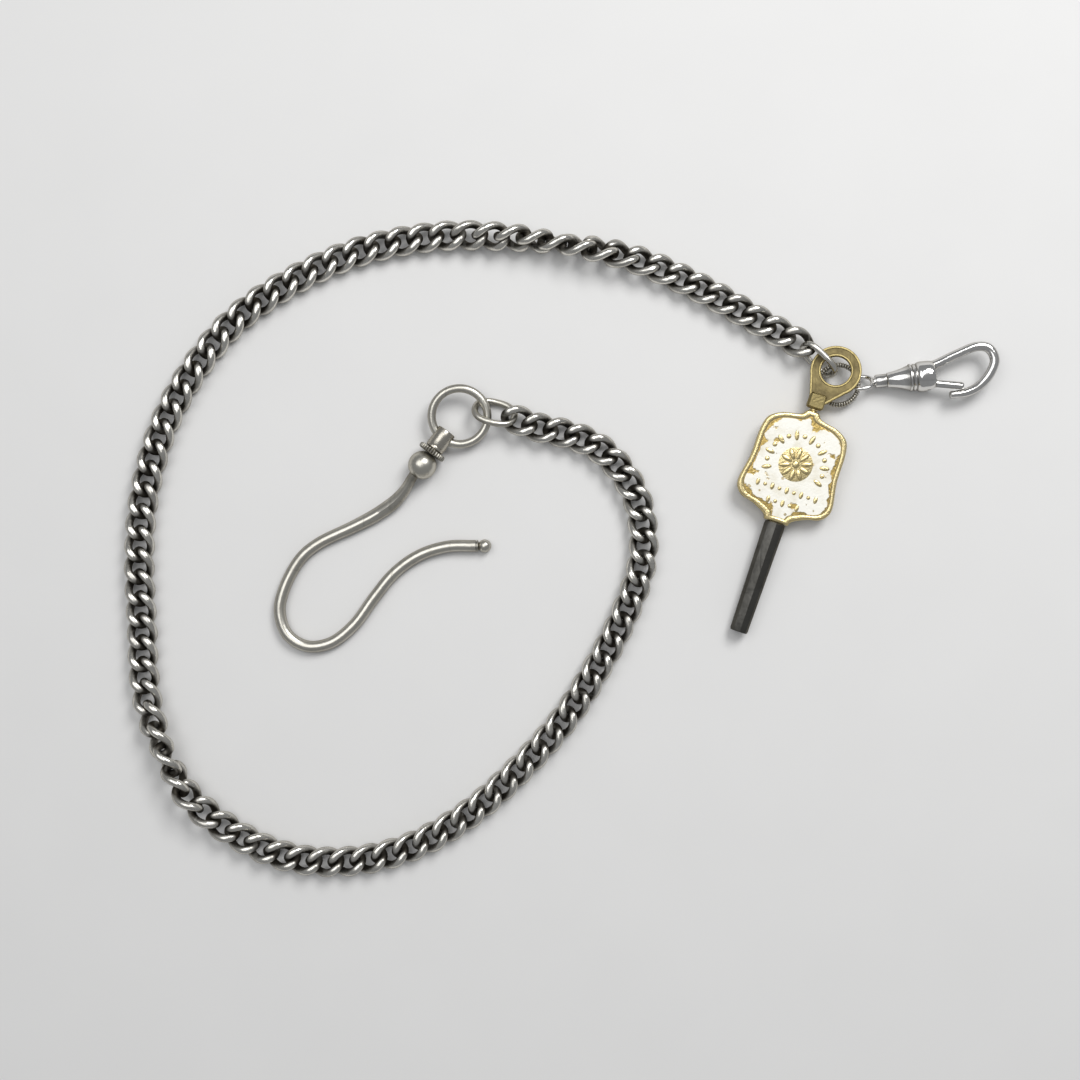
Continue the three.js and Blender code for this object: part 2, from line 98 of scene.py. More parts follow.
@dataclass
class Shape:
    """A closed surface in the making, in millimetres, with how far each point is darkened by age and by
    painted shade.
    """

    points: Array
    faces: list[tuple[int, ...]]
    age_and_shade: Array

    def placed(self, matrix: Array) -> "Shape":
        """The shape moved by a 4 by 4 matrix."""
        moved = self.points @ matrix[:3, :3].T + matrix[:3, 3]
        return Shape(moved, self.faces, self.age_and_shade)

    def and_also(self, *others: "Shape") -> "Shape":
        """This shape and others as one mesh.

        Args:
            others: The shapes to join to it.

        Returns:
            The joined shape, whose surfaces stay apart.
        """
        points, faces, age_and_shade = [self.points], list(self.faces), [self.age_and_shade]
        count = len(self.points)
        for other in others:
            faces += [tuple(index + count for index in face) for face in other.faces]
            points.append(other.points)
            age_and_shade.append(other.age_and_shade)
            count += len(other.points)
        return Shape(np.concatenate(points), faces, np.concatenate(age_and_shade))


def round_section(radius: float, sides: int, power: float = 2.0, flat: float = 1.0) -> Array:
    """The outline of a wire's section.

    Args:
        radius: Half the section's height.
        sides: How many points it has.
        power: 2 is round, and less is ridged at the top and sides.
        flat: Its width as a share of its height.

    Returns:
        An array of (height, width) offsets.
    """
    angle = np.arange(sides) * 2 * math.pi / sides
    c, s = np.cos(angle), np.sin(angle)
    reach = (np.abs(c) ** power + np.abs(s) ** power) ** (-1 / power)
    return np.stack([radius * reach * c, radius * flat * reach * s], axis=1)


def sweep(
    path: Array, sections: Array, closed: bool, dome: float = 0.0, painted_underside_shade: float = 0.0,
) -> Shape:
    """A section carried along a path that never runs straight up.

    Args:
        path: The points of the path.
        sections: One section for all of the path, or one for each point.
        closed: Whether the path's end joins its start.
        dome: How far rounded ends stand out, on an open path.
        painted_underside_shade: How much painted shade darkens its underside, standing in for the contact
            shadow beside it, with its top left clean.

    Returns:
        The closed surface.
    """
    if sections.ndim == 2:
        sections = np.broadcast_to(sections, (len(path), *sections.shape))
    if closed:
        tangent = np.roll(path, -1, axis=0) - np.roll(path, 1, axis=0)
    else:
        tangent = np.gradient(path, axis=0)
    tangent = tangent / np.linalg.norm(tangent, axis=1, keepdims=True)
    if dome and not closed:
        path, sections, tangent = with_domes(path, sections, tangent, dome)
    up = np.array([0.0, 0.0, 1.0]) - tangent[:, 2:3] * tangent
    up = up / np.linalg.norm(up, axis=1, keepdims=True)
    side = np.cross(tangent, up)
    rings = path[:, None] + sections[..., :1] * up[:, None] + sections[..., 1:] * side[:, None]
    steps, sides = rings.shape[:2]
    faces = []
    for i in range(steps if closed else steps - 1):
        for k in range(sides):
            a, b = i * sides + k, i * sides + (k + 1) % sides
            shift = ((i + 1) % steps - i) * sides
            faces.append((a, b, b + shift, a + shift))
    if not closed:
        faces.append(tuple(range(sides))[::-1])
        faces.append(tuple(range((steps - 1) * sides, steps * sides)))
    tallest = max(float(np.abs(sections[..., 0]).max()), 1e-9)
    # Painted shade: the underside of the section is darkened, as if by the contact shadow beside it.
    age_and_shade = painted_underside_shade * (1 - sections[..., 0] / tallest) / 2
    return Shape(rings.reshape(-1, 3), faces, np.array(age_and_shade).reshape(-1))


def with_domes(path: Array, sections: Array, tangent: Array, dome: float) -> tuple[Array, Array, Array]:
    """A path, its sections and its tangents with a rounded end added to both ends.

    Args:
        path: The points of the path.
        sections: One section for each point.
        tangent: The path's direction at each point.
        dome: How far each rounded end stands out.

    Returns:
        The longer path, its sections and its tangents.
    """
    angles = np.radians([25.0, 50.0, 72.0, 86.0])
    ahead = path[-1] + np.sin(angles)[:, None] * dome * tangent[-1]
    behind = path[0] - np.sin(angles)[::-1, None] * dome * tangent[0]
    scale = np.cos(angles)[:, None, None]
    path = np.concatenate([behind, path, ahead])
    sections = np.concatenate([sections[:1] * scale[::-1], sections, sections[-1:] * scale])
    first = np.repeat(tangent[:1], len(angles), axis=0)
    last = np.repeat(tangent[-1:], len(angles), axis=0)
    return path, sections, np.concatenate([first, tangent, last])


@dataclass(frozen=True)
class Milling:
    """Fine flutes cut across an edge of a turned piece."""

    flutes: int
    depth: float
    start: float
    end: float


def turned(profile: list[Pair], segments: int = 48, milling: Milling | None = None) -> Shape:
    """A solid of revolution about +X.

    Args:
        profile: (x, radius) pairs that start and end on the axis.
        segments: How many steps go round it, when nothing is milled.
        milling: Flutes to cut, or None.

    Returns:
        The closed surface.
    """
    if milling:
        segments = milling.flutes * 6
    angle = np.arange(segments) * 2 * math.pi / segments
    inner = profile[1:-1]
    rings, age_and_shade = [], []
    for x, radius in inner:
        reach = np.full(segments, radius)
        hidden = np.zeros(segments)
        if milling and milling.start <= x <= milling.end:
            groove = 0.5 - 0.5 * np.cos(milling.flutes * angle)
            reach = radius - milling.depth * groove
            hidden = groove
        ring = [np.full(segments, x), -reach * np.sin(angle), reach * np.cos(angle)]
        rings.append(np.stack(ring, axis=1))
        age_and_shade.append(hidden)
    poles = np.array([[profile[0][0], 0, 0], [profile[-1][0], 0, 0]], float)
    points = np.concatenate([*rings, poles])
    first, last = len(points) - 2, len(points) - 1
    faces = []
    for k in range(segments):
        after = (k + 1) % segments
        faces.append((first, after, k))
        faces.append((last, (len(inner) - 1) * segments + k, (len(inner) - 1) * segments + after))
        for i in range(len(inner) - 1):
            a, b = i * segments + k, i * segments + after
            faces.append((a, b, b + segments, a + segments))
    return Shape(points, faces, np.concatenate([*age_and_shade, np.zeros(2)]))


def oval_path(length: float, width: float, steps: int, power: float = 2.0, twist: float = 0.0) -> Array:
    """The centreline of an oval link in the XY plane, long in X.

    Args:
        length: The centreline's length.
        width: The centreline's width.
        steps: How many points it has.
        power: 2 is an ellipse, and more gives straighter sides.
        twist: Radians that each end is turned about X, in opposite ways.

    Returns:
        The points.
    """
    angle = np.arange(steps) * 2 * math.pi / steps
    c, s = np.cos(angle), np.sin(angle)
    x = np.sign(c) * np.abs(c) ** (2 / power) * length / 2
    y = np.sign(s) * np.abs(s) ** (2 / power) * width / 2
    turn = -twist * 2 * x / length
    return np.stack([x, y * np.cos(turn), y * np.sin(turn)], axis=1)


def ring_path(radius: float, steps: int) -> Array:
    """A circle in the XY plane."""
    return oval_path(2 * radius, 2 * radius, steps)


def smooth_curve(stations: list[tuple[float, ...]], steps: int) -> Array:
    """A centripetal Catmull-Rom curve through points, in equal steps along its length.

    Args:
        stations: The points that it passes through, in the plane or in space.
        steps: How many points it is given.

    Returns:
        The points.
    """
    fixed = np.array(stations, float)
    before, after = 2 * fixed[0] - fixed[1], 2 * fixed[-1] - fixed[-2]
    p = np.concatenate([[before], fixed, [after]])
    finest = np.linspace(0, len(fixed) - 1, 2001)
    index = np.minimum(finest.astype(int), len(fixed) - 2)
    weight = (finest - index)[:, None]
    p0, p1, p2, p3 = (p[index + k] for k in range(4))
    d0, d1, d2 = (np.sum((b - a) ** 2, axis=1)[:, None] ** 0.25 for a, b in ((p0, p1), (p1, p2), (p2, p3)))
    t1 = ((p1 - p0) / d0 - (p2 - p0) / (d0 + d1) + (p2 - p1) / d1) * d1
    t2 = ((p2 - p1) / d1 - (p3 - p1) / (d1 + d2) + (p3 - p2) / d2) * d1
    square, cube = weight ** 2, weight ** 3
    curve = p1 + t1 * weight + (3 * (p2 - p1) - 2 * t1 - t2) * square + (2 * (p1 - p2) + t1 + t2) * cube
    along = np.concatenate([[0], np.cumsum(np.linalg.norm(np.diff(curve, axis=0), axis=1))])
    wanted = np.linspace(0, along[-1], steps)
    return np.stack([np.interp(wanted, along, curve[:, k]) for k in range(curve.shape[1])], axis=1)


def stacked(loops: list[Array]) -> Shape:
    """Loops joined one to the next, closed by a face at each end.

    Args:
        loops: The loops, with the same number of points in each.

    Returns:
        The closed surface.
    """
    count = len(loops[0])
    faces = []
    for i in range(len(loops) - 1):
        for k in range(count):
            a, b = i * count + k, i * count + (k + 1) % count
            faces.append((a, b, b + count, a + count))
    faces.append(tuple(range(count))[::-1])
    faces.append(tuple(range((len(loops) - 1) * count, len(loops) * count)))
    points = np.concatenate(loops)
    return Shape(points, faces, np.zeros(len(points)))


def rounded_block(low: Triple, high: Triple, edge: float) -> Shape:
    """A box whose four long edges and two ends are chamfered, long in X.

    Args:
        low: Its lowest corner.
        high: Its highest corner.
        edge: How wide the chamfers are.

    Returns:
        The closed surface.
    """
    (x0, y0, z0), (x1, y1, z1) = low, high
    loops = []
    for x, inset in ((x0, edge), (x0 + edge, 0.0), (x1 - edge, 0.0), (x1, edge)):
        a, b, c, d = y0 + inset, y1 - inset, z0 + inset, z1 - inset
        corners = [(a, c + edge), (a + edge, c), (b - edge, c), (b, c + edge)]
        corners += [(b, d - edge), (b - edge, d), (a + edge, d), (a, d - edge)]
        loops.append(np.array([(x, y, z) for y, z in corners]))
    return stacked(loops)


# ------------------------------------------------------------------ node groups
@dataclass(frozen=True)
class GroupSocket:
    """A socket of a shader node group."""

    name: str
    kind: str
    value: float | Colour | None = None


def new_group(
    name: str, inputs: list[GroupSocket], outputs: list[GroupSocket],
) -> bpy.types.ShaderNodeTree:
    """A shader node group with its sockets.

    Args:
        name: The group's name.
        inputs: Its inputs, with their default values.
        outputs: Its outputs.

    Returns:
        The group, still without nodes.
    """
    group = bpy.data.node_groups.new(name, "ShaderNodeTree")
    for way, sockets in (("INPUT", inputs), ("OUTPUT", outputs)):
        for socket in sockets:
            made = group.interface.new_socket(socket.name, in_out=way, socket_type=f"NodeSocket{socket.kind}")
            if socket.value is not None:
                made.default_value = (*socket.value, 1) if socket.kind == "Color" else socket.value
    return group


class Wiring:
    """Short ways to place and join the nodes of one tree."""

    def __init__(self, tree: bpy.types.ShaderNodeTree) -> None:
        """Keeps the tree."""
        self.tree = tree

    def node(self, kind: str, **settings: object) -> bpy.types.Node:
        """A new node.

        Args:
            kind: The node's type.
            settings: Its properties by name.

        Returns:
            The node.
        """
        made = self.tree.nodes.new(kind)
        for name, value in settings.items():
            setattr(made, name, value)
        return made

    def feed(self, socket: bpy.types.NodeSocket, value: object) -> None:
        """Joins an output to a socket, or sets the socket to a plain value.

        Args:
            socket: The input.
            value: An output, or a plain value.
        """
        if isinstance(value, bpy.types.NodeSocket):
            self.tree.links.new(value, socket)
        else:
            socket.default_value = value

    def math(self, operation: str, a: object, b: object = 0.0, clamp: bool = False) -> bpy.types.NodeSocket:
        """The result of a Math node.

        Args:
            operation: What it works out.
            a: Its first value or output.
            b: Its second value or output.
            clamp: Whether the result stays between 0 and 1.

        Returns:
            The node's output.
        """
        made = self.node("ShaderNodeMath", operation=operation, use_clamp=clamp)
        self.feed(made.inputs[0], a)
        self.feed(made.inputs[1], b)
        return made.outputs[0]

    def blend(self, mask: object, a: object, b: object) -> bpy.types.NodeSocket:
        """A colour between two by a mask.

        Args:
            mask: 0 for the first colour and 1 for the second.
            a: The first colour.
            b: The second colour.

        Returns:
            The node's output.
        """
        made = self.node("ShaderNodeMix", data_type="RGBA")
        self.feed(made.inputs[0], mask)
        self.feed(made.inputs[6], a)
        self.feed(made.inputs[7], b)
        return made.outputs[2]

    def ramp(self, value: object, low: float, high: float) -> bpy.types.NodeSocket:
        """A value spread out to run from 0 to 1.

        Args:
            value: The value or output.
            low: Where the result is 0.
            high: Where the result is 1.

        Returns:
            The node's output.
        """
        made = self.node("ShaderNodeMapRange")
        self.feed(made.inputs[0], value)
        made.inputs[1].default_value = low
        made.inputs[2].default_value = high
        return made.outputs[0]

    def noise(self, scale: object, detail: float, stretch: Triple = (1, 1, 1)) -> bpy.types.NodeSocket:
        """Fractal noise over the piece's own coordinates.

        Args:
            scale: How many features there are in a metre.
            detail: How many finer layers it has.
            stretch: The scale's share along X, Y and Z.

        Returns:
            The node's output, about 0.5 on average.
        """
        place = self.node("ShaderNodeTexCoord").outputs["Object"]
        mapping = self.node("ShaderNodeMapping")
        mapping.inputs["Scale"].default_value = stretch
        self.feed(mapping.inputs["Vector"], place)
        made = self.node("ShaderNodeTexNoise")
        self.feed(made.inputs["Vector"], mapping.outputs[0])
        self.feed(made.inputs["Scale"], scale)
        made.inputs["Detail"].default_value = detail
        return made.outputs[0]


def tarnish_and_shade_group() -> bpy.types.ShaderNodeTree:
    """Builds the group that darkens metal by a mask of tarnish and painted shade, and in soft patches of
    tarnish.

    Returns:
        The group, which gives a colour, a roughness and a height.
    """
    group = new_group(
        "Tarnish",
        [
            GroupSocket("Clean", "Color", (0.7, 0.7, 0.7)), GroupSocket("Tarnish", "Color", (0.1, 0.1, 0.1)),
            GroupSocket("Age And Shade", "Float", 0.0), GroupSocket("Patchiness", "Float", 0.5),
            GroupSocket("Patch Scale", "Float", 600.0), GroupSocket("Smooth", "Float", 0.2),
            GroupSocket("Rough", "Float", 0.5),
        ],
        [GroupSocket("Colour", "Color"), GroupSocket("Roughness", "Float"), GroupSocket("Height", "Float")],
    )
    w = Wiring(group)
    given = w.node("NodeGroupInput").outputs
    patches = w.math("SUBTRACT", w.noise(given["Patch Scale"], 5.0), 0.5)
    fine = w.noise(w.math("MULTIPLY", given["Patch Scale"], 6.0), 3.0)
    # The mask adds the mesh's tarnish and painted shade to the soft patches of tarnish.
    mask = w.math("ADD", given["Age And Shade"], w.math("MULTIPLY", patches, given["Patchiness"]))
    mask = w.math("ADD", mask, w.math("MULTIPLY", w.math("SUBTRACT", fine, 0.5), 0.25), clamp=True)
    rough = w.math("MULTIPLY", mask, w.math("SUBTRACT", given["Rough"], given["Smooth"]))
    out = w.node("NodeGroupOutput")
    w.feed(out.inputs["Colour"], w.blend(mask, given["Clean"], given["Tarnish"]))
    w.feed(out.inputs["Roughness"], w.math("ADD", rough, given["Smooth"]))
    w.feed(out.inputs["Height"], fine)
    return group


def scratch_group() -> bpy.types.ShaderNodeTree:
    """Builds the group that draws fine hairline scratches in two directions.

    Returns:
        The group, which gives a mask and a height.
    """
    group = new_group(
        "Hairline Scratches",
        [GroupSocket("Scale", "Float", 900.0), GroupSocket("Amount", "Float", 0.5)],
        [GroupSocket("Mask", "Float"), GroupSocket("Height", "Float")],
    )
    w = Wiring(group)
    given = w.node("NodeGroupInput").outputs
    one = w.ramp(w.noise(given["Scale"], 2.0, (1.0, 0.06, 0.4)), 0.62, 0.7)
    two = w.ramp(w.noise(given["Scale"], 2.0, (0.07, 1.0, 0.3)), 0.64, 0.72)
    mask = w.math("MULTIPLY", w.math("MAXIMUM", one, two), given["Amount"], clamp=True)
    out = w.node("NodeGroupOutput")
    w.feed(out.inputs["Mask"], mask)
    w.feed(out.inputs["Height"], w.math("SUBTRACT", 1.0, mask))
    return group


def speckle_group() -> bpy.types.ShaderNodeTree:
    """Builds the group that scatters small irregular specks and chips.

    Returns:
        The group, which gives a mask.
    """
    group = new_group(
        "Speckle",
        [GroupSocket("Scale", "Float", 1500.0), GroupSocket("Size", "Float", 0.2)],
        [GroupSocket("Mask", "Float")],
    )
    w = Wiring(group)
    given = w.node("NodeGroupInput").outputs
    cells = w.node("ShaderNodeTexVoronoi")
    w.feed(cells.inputs["Vector"], w.node("ShaderNodeTexCoord").outputs["Object"])
    w.feed(cells.inputs["Scale"], given["Scale"])
    ragged = w.math("MULTIPLY", w.math("SUBTRACT", w.noise(given["Scale"], 4.0), 0.5), 0.5)
    distance = w.math("ADD", cells.outputs["Distance"], ragged)
    out = w.node("NodeGroupOutput")
    w.feed(out.inputs["Mask"], w.math("LESS_THAN", distance, given["Size"]))
    return group


TARNISH_AND_SHADE = tarnish_and_shade_group()
SCRATCHES = scratch_group()
SPECKLE = speckle_group()


# ------------------------------------------------------------------ finishes
@dataclass(frozen=True)
class MetalFinish:
    """A metal that is clean where it is rubbed, and darkened where it is tarnished and where painted shade is
    given.
    """

    name: str
    slot: Slot
    clean: Colour
    # The dark colour of tarnish, which also serves as painted shade.
    tarnish_and_shade: Colour
    patchiness: float
    patch_scale: float
    smooth: float
    rough: float
    scratches: float = 0.3
    bump: float = 0.03
    shelter_bias: float = 0.0
    edge: Colour = (0.5, 0.48, 0.44)

    def material(self) -> bpy.types.Material:
        """The finish as a material, made once.

        Returns:
            The material.
        """
        if self.name in bpy.data.materials:
            return bpy.data.materials[self.name]
        made = bpy.data.materials.new(self.name)
        made.use_nodes = True
        w = Wiring(made.node_tree)
        shader = made.node_tree.nodes["Principled BSDF"]
        shader.inputs["Metallic"].default_value = 1.0
        shader.inputs["Specular Tint"].default_value = (*self.edge, 1)
        # The mesh's mask: tarnish in hollows, and painted shade on undersides and between the chain's links.
        age_and_shade = w.node("ShaderNodeAttribute", attribute_name="age_and_shade").outputs["Fac"]
        tarnish_and_shade = w.node("ShaderNodeGroup", node_tree=TARNISH_AND_SHADE)
        w.feed(tarnish_and_shade.inputs["Clean"], (*self.clean, 1))
        w.feed(tarnish_and_shade.inputs["Tarnish"], (*self.tarnish_and_shade, 1))
        w.feed(tarnish_and_shade.inputs["Age And Shade"], w.math("ADD", age_and_shade, self.shelter_bias))
        w.feed(tarnish_and_shade.inputs["Patchiness"], self.patchiness)
        w.feed(tarnish_and_shade.inputs["Patch Scale"], self.patch_scale)
        w.feed(tarnish_and_shade.inputs["Smooth"], self.smooth)
        w.feed(tarnish_and_shade.inputs["Rough"], self.rough)
        scratch = w.node("ShaderNodeGroup", node_tree=SCRATCHES)
        w.feed(scratch.inputs["Amount"], self.scratches)
        dull = tuple(0.55 * value for value in self.clean)
        colour = w.blend(scratch.outputs["Mask"], tarnish_and_shade.outputs["Colour"], (*dull, 1))
        w.feed(shader.inputs["Base Color"], colour)
        rougher = w.math("MULTIPLY", scratch.outputs["Mask"], 0.2)
        w.feed(shader.inputs["Roughness"], w.math("ADD", tarnish_and_shade.outputs["Roughness"], rougher))
        bump = w.node("ShaderNodeBump")
        bump.inputs["Distance"].default_value = self.bump * MM
        bump.inputs["Strength"].default_value = 0.6
        w.feed(bump.inputs["Height"], w.math("ADD", tarnish_and_shade.outputs["Height"], scratch.outputs["Height"]))
        w.feed(shader.inputs["Normal"], bump.outputs[0])
        return made


@dataclass(frozen=True)
class EnamelFinish:
    """A pale worn coating, chipped through to brass at its edges."""

    name: str = "worn white field"
    slot: Slot = Slot.AGED_BRASS
    white: Colour = (0.94, 0.92, 0.84)
    stain: Colour = (0.6, 0.52, 0.32)
    brass: Colour = (0.52, 0.38, 0.13)

    def material(self) -> bpy.types.Material:
        """The finish as a material, made once.

        Returns:
            The material.
        """
        if self.name in bpy.data.materials:
            return bpy.data.materials[self.name]
        made = bpy.data.materials.new(self.name)
        made.use_nodes = True
        w = Wiring(made.node_tree)
        shader = made.node_tree.nodes["Principled BSDF"]
        shader.inputs["Coat Roughness"].default_value = 0.25
        edge = w.node("ShaderNodeAttribute", attribute_name="age_and_shade").outputs["Fac"]
        specks = w.node("ShaderNodeGroup", node_tree=SPECKLE)
        w.feed(specks.inputs["Scale"], 700.0)
        w.feed(specks.inputs["Size"], 0.13)
        stains = w.ramp(w.noise(420.0, 6.0), 0.5, 0.78)
        chips = w.ramp(w.math("ADD", w.noise(330.0, 6.0), w.math("MULTIPLY", edge, 0.22)), 0.67, 0.7)
        bare = w.math("MAXIMUM", chips, w.math("MULTIPLY", specks.outputs["Mask"], 0.7))
        pale = w.blend(w.math("MULTIPLY", stains, 0.5), (*self.white, 1), (*self.stain, 1))
        w.feed(shader.inputs["Base Color"], w.blend(bare, pale, (*self.brass, 1)))
        w.feed(shader.inputs["Metallic"], bare)
        w.feed(shader.inputs["Roughness"], w.ramp(stains, -1.0, 2.0))
        bump = w.node("ShaderNodeBump")
        bump.inputs["Distance"].default_value = 0.06 * MM
        w.feed(bump.inputs["Height"], w.math("SUBTRACT", w.noise(2600.0, 4.0), bare))
        w.feed(shader.inputs["Normal"], bump.outputs[0])
        return made


CHAIN_SILVER = MetalFinish(
    "worn chain silver", Slot.AGED_SILVER, (0.68, 0.66, 0.61), (0.065, 0.058, 0.048),
    patchiness=0.9, patch_scale=420.0, smooth=0.2, rough=0.55, scratches=0.45,
)
FITTING_SILVER = MetalFinish(
    "rubbed silver", Slot.POLISHED_SILVER, (0.58, 0.56, 0.5), (0.12, 0.108, 0.086),
    patchiness=0.85, patch_scale=300.0, smooth=0.29, rough=0.55, scratches=0.5,
)
DRUM_SILVER = MetalFinish(
    "dull drum silver", Slot.POLISHED_SILVER, (0.5, 0.47, 0.41), (0.1, 0.085, 0.065),
    patchiness=0.8, patch_scale=380.0, smooth=0.26, rough=0.55, scratches=0.4,
)
NICKEL = MetalFinish(
    "bright nickel", Slot.BRIGHT_NICKEL, (0.72, 0.71, 0.69), (0.2, 0.19, 0.17),
    patchiness=0.4, patch_scale=300.0, smooth=0.1, rough=0.4, scratches=0.25, bump=0.015,
)
BOW_BRASS = MetalFinish(
    "dull brass", Slot.AGED_BRASS, (0.34, 0.275, 0.125), (0.1, 0.08, 0.042),
    patchiness=1.1, patch_scale=520.0, smooth=0.36, rough=0.6, scratches=0.4, bump=0.06,
)
GILT = MetalFinish(
    "gilt rim", Slot.AGED_BRASS, (0.76, 0.63, 0.33), (0.36, 0.26, 0.1),
    patchiness=1.0, patch_scale=620.0, smooth=0.32, rough=0.55, scratches=0.3, bump=0.09,
)
BROWNED_STEEL = MetalFinish(
    "browned steel", Slot.DARK_STEEL, (0.11, 0.107, 0.098), (0.04, 0.038, 0.034),
    patchiness=1.2, patch_scale=340.0, smooth=0.36, rough=0.62, scratches=0.5, bump=0.09, shelter_bias=0.2,
)
ENAMEL = EnamelFinish()


# ------------------------------------------------------------------ pieces
def make_piece(
    name: str, shape: Shape, finish: MetalFinish | EnamelFinish, body: str,
    stands_for: tuple[str, ...] = (), crease: float = 38.0,
) -> bpy.types.Object:
    """Makes a piece from a shape, and lets it ride on a body.

    Args:
        name: The piece's name.
        shape: Its surface, in the coordinates of the laid-out chain.
        finish: Its finish.
        body: The CAD body that it moves with.
        stands_for: The CAD nodes that it replaces.
        crease: Edges sharper than this, in degrees, stay sharp.

    Returns:
        The object.
    """
    points = (shape.points - np.array([*PLAN_CENTRE, 0.0])) * MM
    mesh = bpy.data.meshes.new(name)
    mesh.from_pydata(points.tolist(), [], shape.faces)
    age_and_shade = mesh.attributes.new("age_and_shade", "FLOAT", "POINT")
    age_and_shade.data.foreach_set("value", shape.age_and_shade.astype(np.float32))
    build = bmesh.new()
    build.from_mesh(mesh)
    bmesh.ops.recalc_face_normals(build, faces=build.faces)
    build.to_mesh(mesh)
    build.free()
    mesh.shade_smooth()
    mesh.set_sharp_from_angle(angle=math.radians(crease))
    mesh.materials.append(finish.material())
    made = bpy.data.objects.new(name, mesh)
    bpy.context.scene.collection.objects.link(made)
    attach(made, body)
    if stands_for:
        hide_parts(*stands_for)
    LOG.info("%s: %d faces on %s", name, len(mesh.polygons), body)
    return made


@dataclass
class CurbChain:
    """The curb chain: twisted oval links along a route that rolls over twice."""

    link_length: float = 4.6
    link_width: float = 3.3
    wire: float = 1.2
    twist: float = math.pi / 3
    squareness: float = 2.4
    links_per_length: int = 3
    lengths: int = 30
    half_thickness: float = 1.55
    half_width: float = 2.3
    corner_height: float = 0.8
    hook_end_rise: float = 0.8
    key_end_rise: float = 0.6
    end_rise_length: float = 9.0
    polished_height: float = 1.3
    polish: float = 0.7
    # How far out from the chain's middle the links are darkened: tarnish in the hollows, and painted shade
    # between the links.
    tarnish_and_shade_within: Pair = (0.6, 0.96)
    tone_spread: Pair = (-0.08, 0.14)
    seed: int = 11
    rolls: tuple[Pair, ...] = ((130.5, 32.0), (252.0, 44.0))
    route: tuple[Pair, ...] = (
        (-7.2, 19.6), (-3.6, 18.2), (0.4, 17.3), (5.5, 15.4), (9.35, 11.8), (11.9, 7.2), (12.8, 1.6),
        (12.4, -3.0), (9.9, -10.0), (6.1, -17.4), (1.3, -25.0), (-5.4, -32.6), (-13.6, -39.8),
        (-22.3, -44.6), (-31.4, -46.6), (-40.7, -45.8), (-49.0, -41.8), (-55.2, -36.0), (-58.9, -28.8),
        (-61.3, -21.2), (-61.9, -11.6), (-62.3, -1.0), (-61.6, 7.8), (-58.8, 18.0), (-54.2, 26.6),
        (-48.0, 34.0), (-39.4, 39.9), (-29.6, 44.2), (-18.4, 46.4), (-8.2, 46.2), (3.0, 44.8),
        (12.6, 42.6), (21.6, 38.6), (29.4, 34.2), (37.1, 29.8),
    )
    centreline: Array = field(init=False)
    length: float = field(init=False)

    def __post_init__(self) -> None:
        """Works out the centreline and its length."""
        self.centreline = smooth_curve(list(self.route), 4001)
        self.length = float(np.linalg.norm(np.diff(self.centreline, axis=0), axis=1).sum())

    @property
    def pitch(self) -> float:
        """The distance from one link to the next."""
        return self.length / (self.lengths * self.links_per_length)

    def roll_at(self, distance: float) -> float:
        """How far the chain is rolled about its centreline at a distance along it."""
        turns = [smoothstep(distance, mid - span / 2, mid + span / 2) for mid, span in self.rolls]
        return math.pi * float(sum(turns))

    def point_at(self, distance: float) -> Array:
        """A point of the chain's centreline, at the height that its roll and its ends give it.

        Args:
            distance: How far along the chain it is, from the hook end.

        Returns:
            The point.
        """
        inside = min(max(distance, 0.0), self.length)
        roll = self.roll_at(inside)
        oval = math.hypot(self.half_thickness * math.cos(roll), self.half_width * math.sin(roll))
        lying = oval + self.corner_height * abs(math.sin(2 * roll))
        to_hook = 1 - float(smoothstep(inside, 0, self.end_rise_length))
        to_key = float(smoothstep(inside, self.length - self.end_rise_length, self.length))
        height = lying + self.hook_end_rise * to_hook + self.key_end_rise * to_key
        station = inside / self.length * (len(self.centreline) - 1)
        whole = np.arange(len(self.centreline))
        return np.array([*(np.interp(station, whole, self.centreline[:, k]) for k in range(2)), height])

    def frame_at(self, distance: float) -> Array:
        """The frame of a link: X along the chain, Z up where there is no roll.

        Args:
            distance: How far along the chain the link's middle is.

        Returns:
            A 4 by 4 matrix.
        """
        ahead = self.point_at(distance + self.pitch / 2) - self.point_at(distance - self.pitch / 2)
        ahead = ahead / np.linalg.norm(ahead)
        across = np.cross([0.0, 0.0, 1.0], ahead)
        across = across / np.linalg.norm(across)
        above = np.cross(ahead, across)
        roll = self.roll_at(distance)
        matrix = np.eye(4)
        matrix[:3, 0] = ahead
        matrix[:3, 1] = across * math.cos(roll) + above * math.sin(roll)
        matrix[:3, 2] = above * math.cos(roll) - across * math.sin(roll)
        matrix[:3, 3] = self.point_at(distance)
        return matrix

    def link(self) -> Shape:
        """One link: round wire, polished a little flat on the chain's two faces.

        Returns:
            The link, lying along X about the origin.
        """
        path = oval_path(self.link_length, self.link_width, 48, self.squareness, self.twist)
        shape = sweep(path, round_section(self.wire / 2, 14), closed=True)
        height = np.abs(shape.points[:, 2])
        over = np.maximum(height - self.polished_height, 0)
        shape.points[:, 2] *= (height - self.polish * over) / np.maximum(height, 1e-9)
        # Darker towards the chain's middle: tarnish in the hollows and painted shade where the links lie over
        # each other.
        reach = np.hypot(shape.points[:, 1] / self.half_width, shape.points[:, 2] / self.half_thickness)
        shape.age_and_shade = 1 - smoothstep(reach, *self.tarnish_and_shade_within)
        return shape

    def build(self) -> None:
        """Makes every link, and lets it ride on the length that it belongs to."""
        draw = random.Random(self.seed)
        link = self.link()
        for number in range(self.lengths * self.links_per_length):
            part = number // self.links_per_length + 1
            placed = link.placed(self.frame_at((number + 0.5) * self.pitch))
            tone = draw.uniform(*self.tone_spread)
            body = f"chain_length_{part:02d}"
            shape = Shape(placed.points, placed.faces, placed.age_and_shade + tone)
            make_piece(f"chain_link_{number + 1:02d}", shape, CHAIN_SILVER, body, (body,))


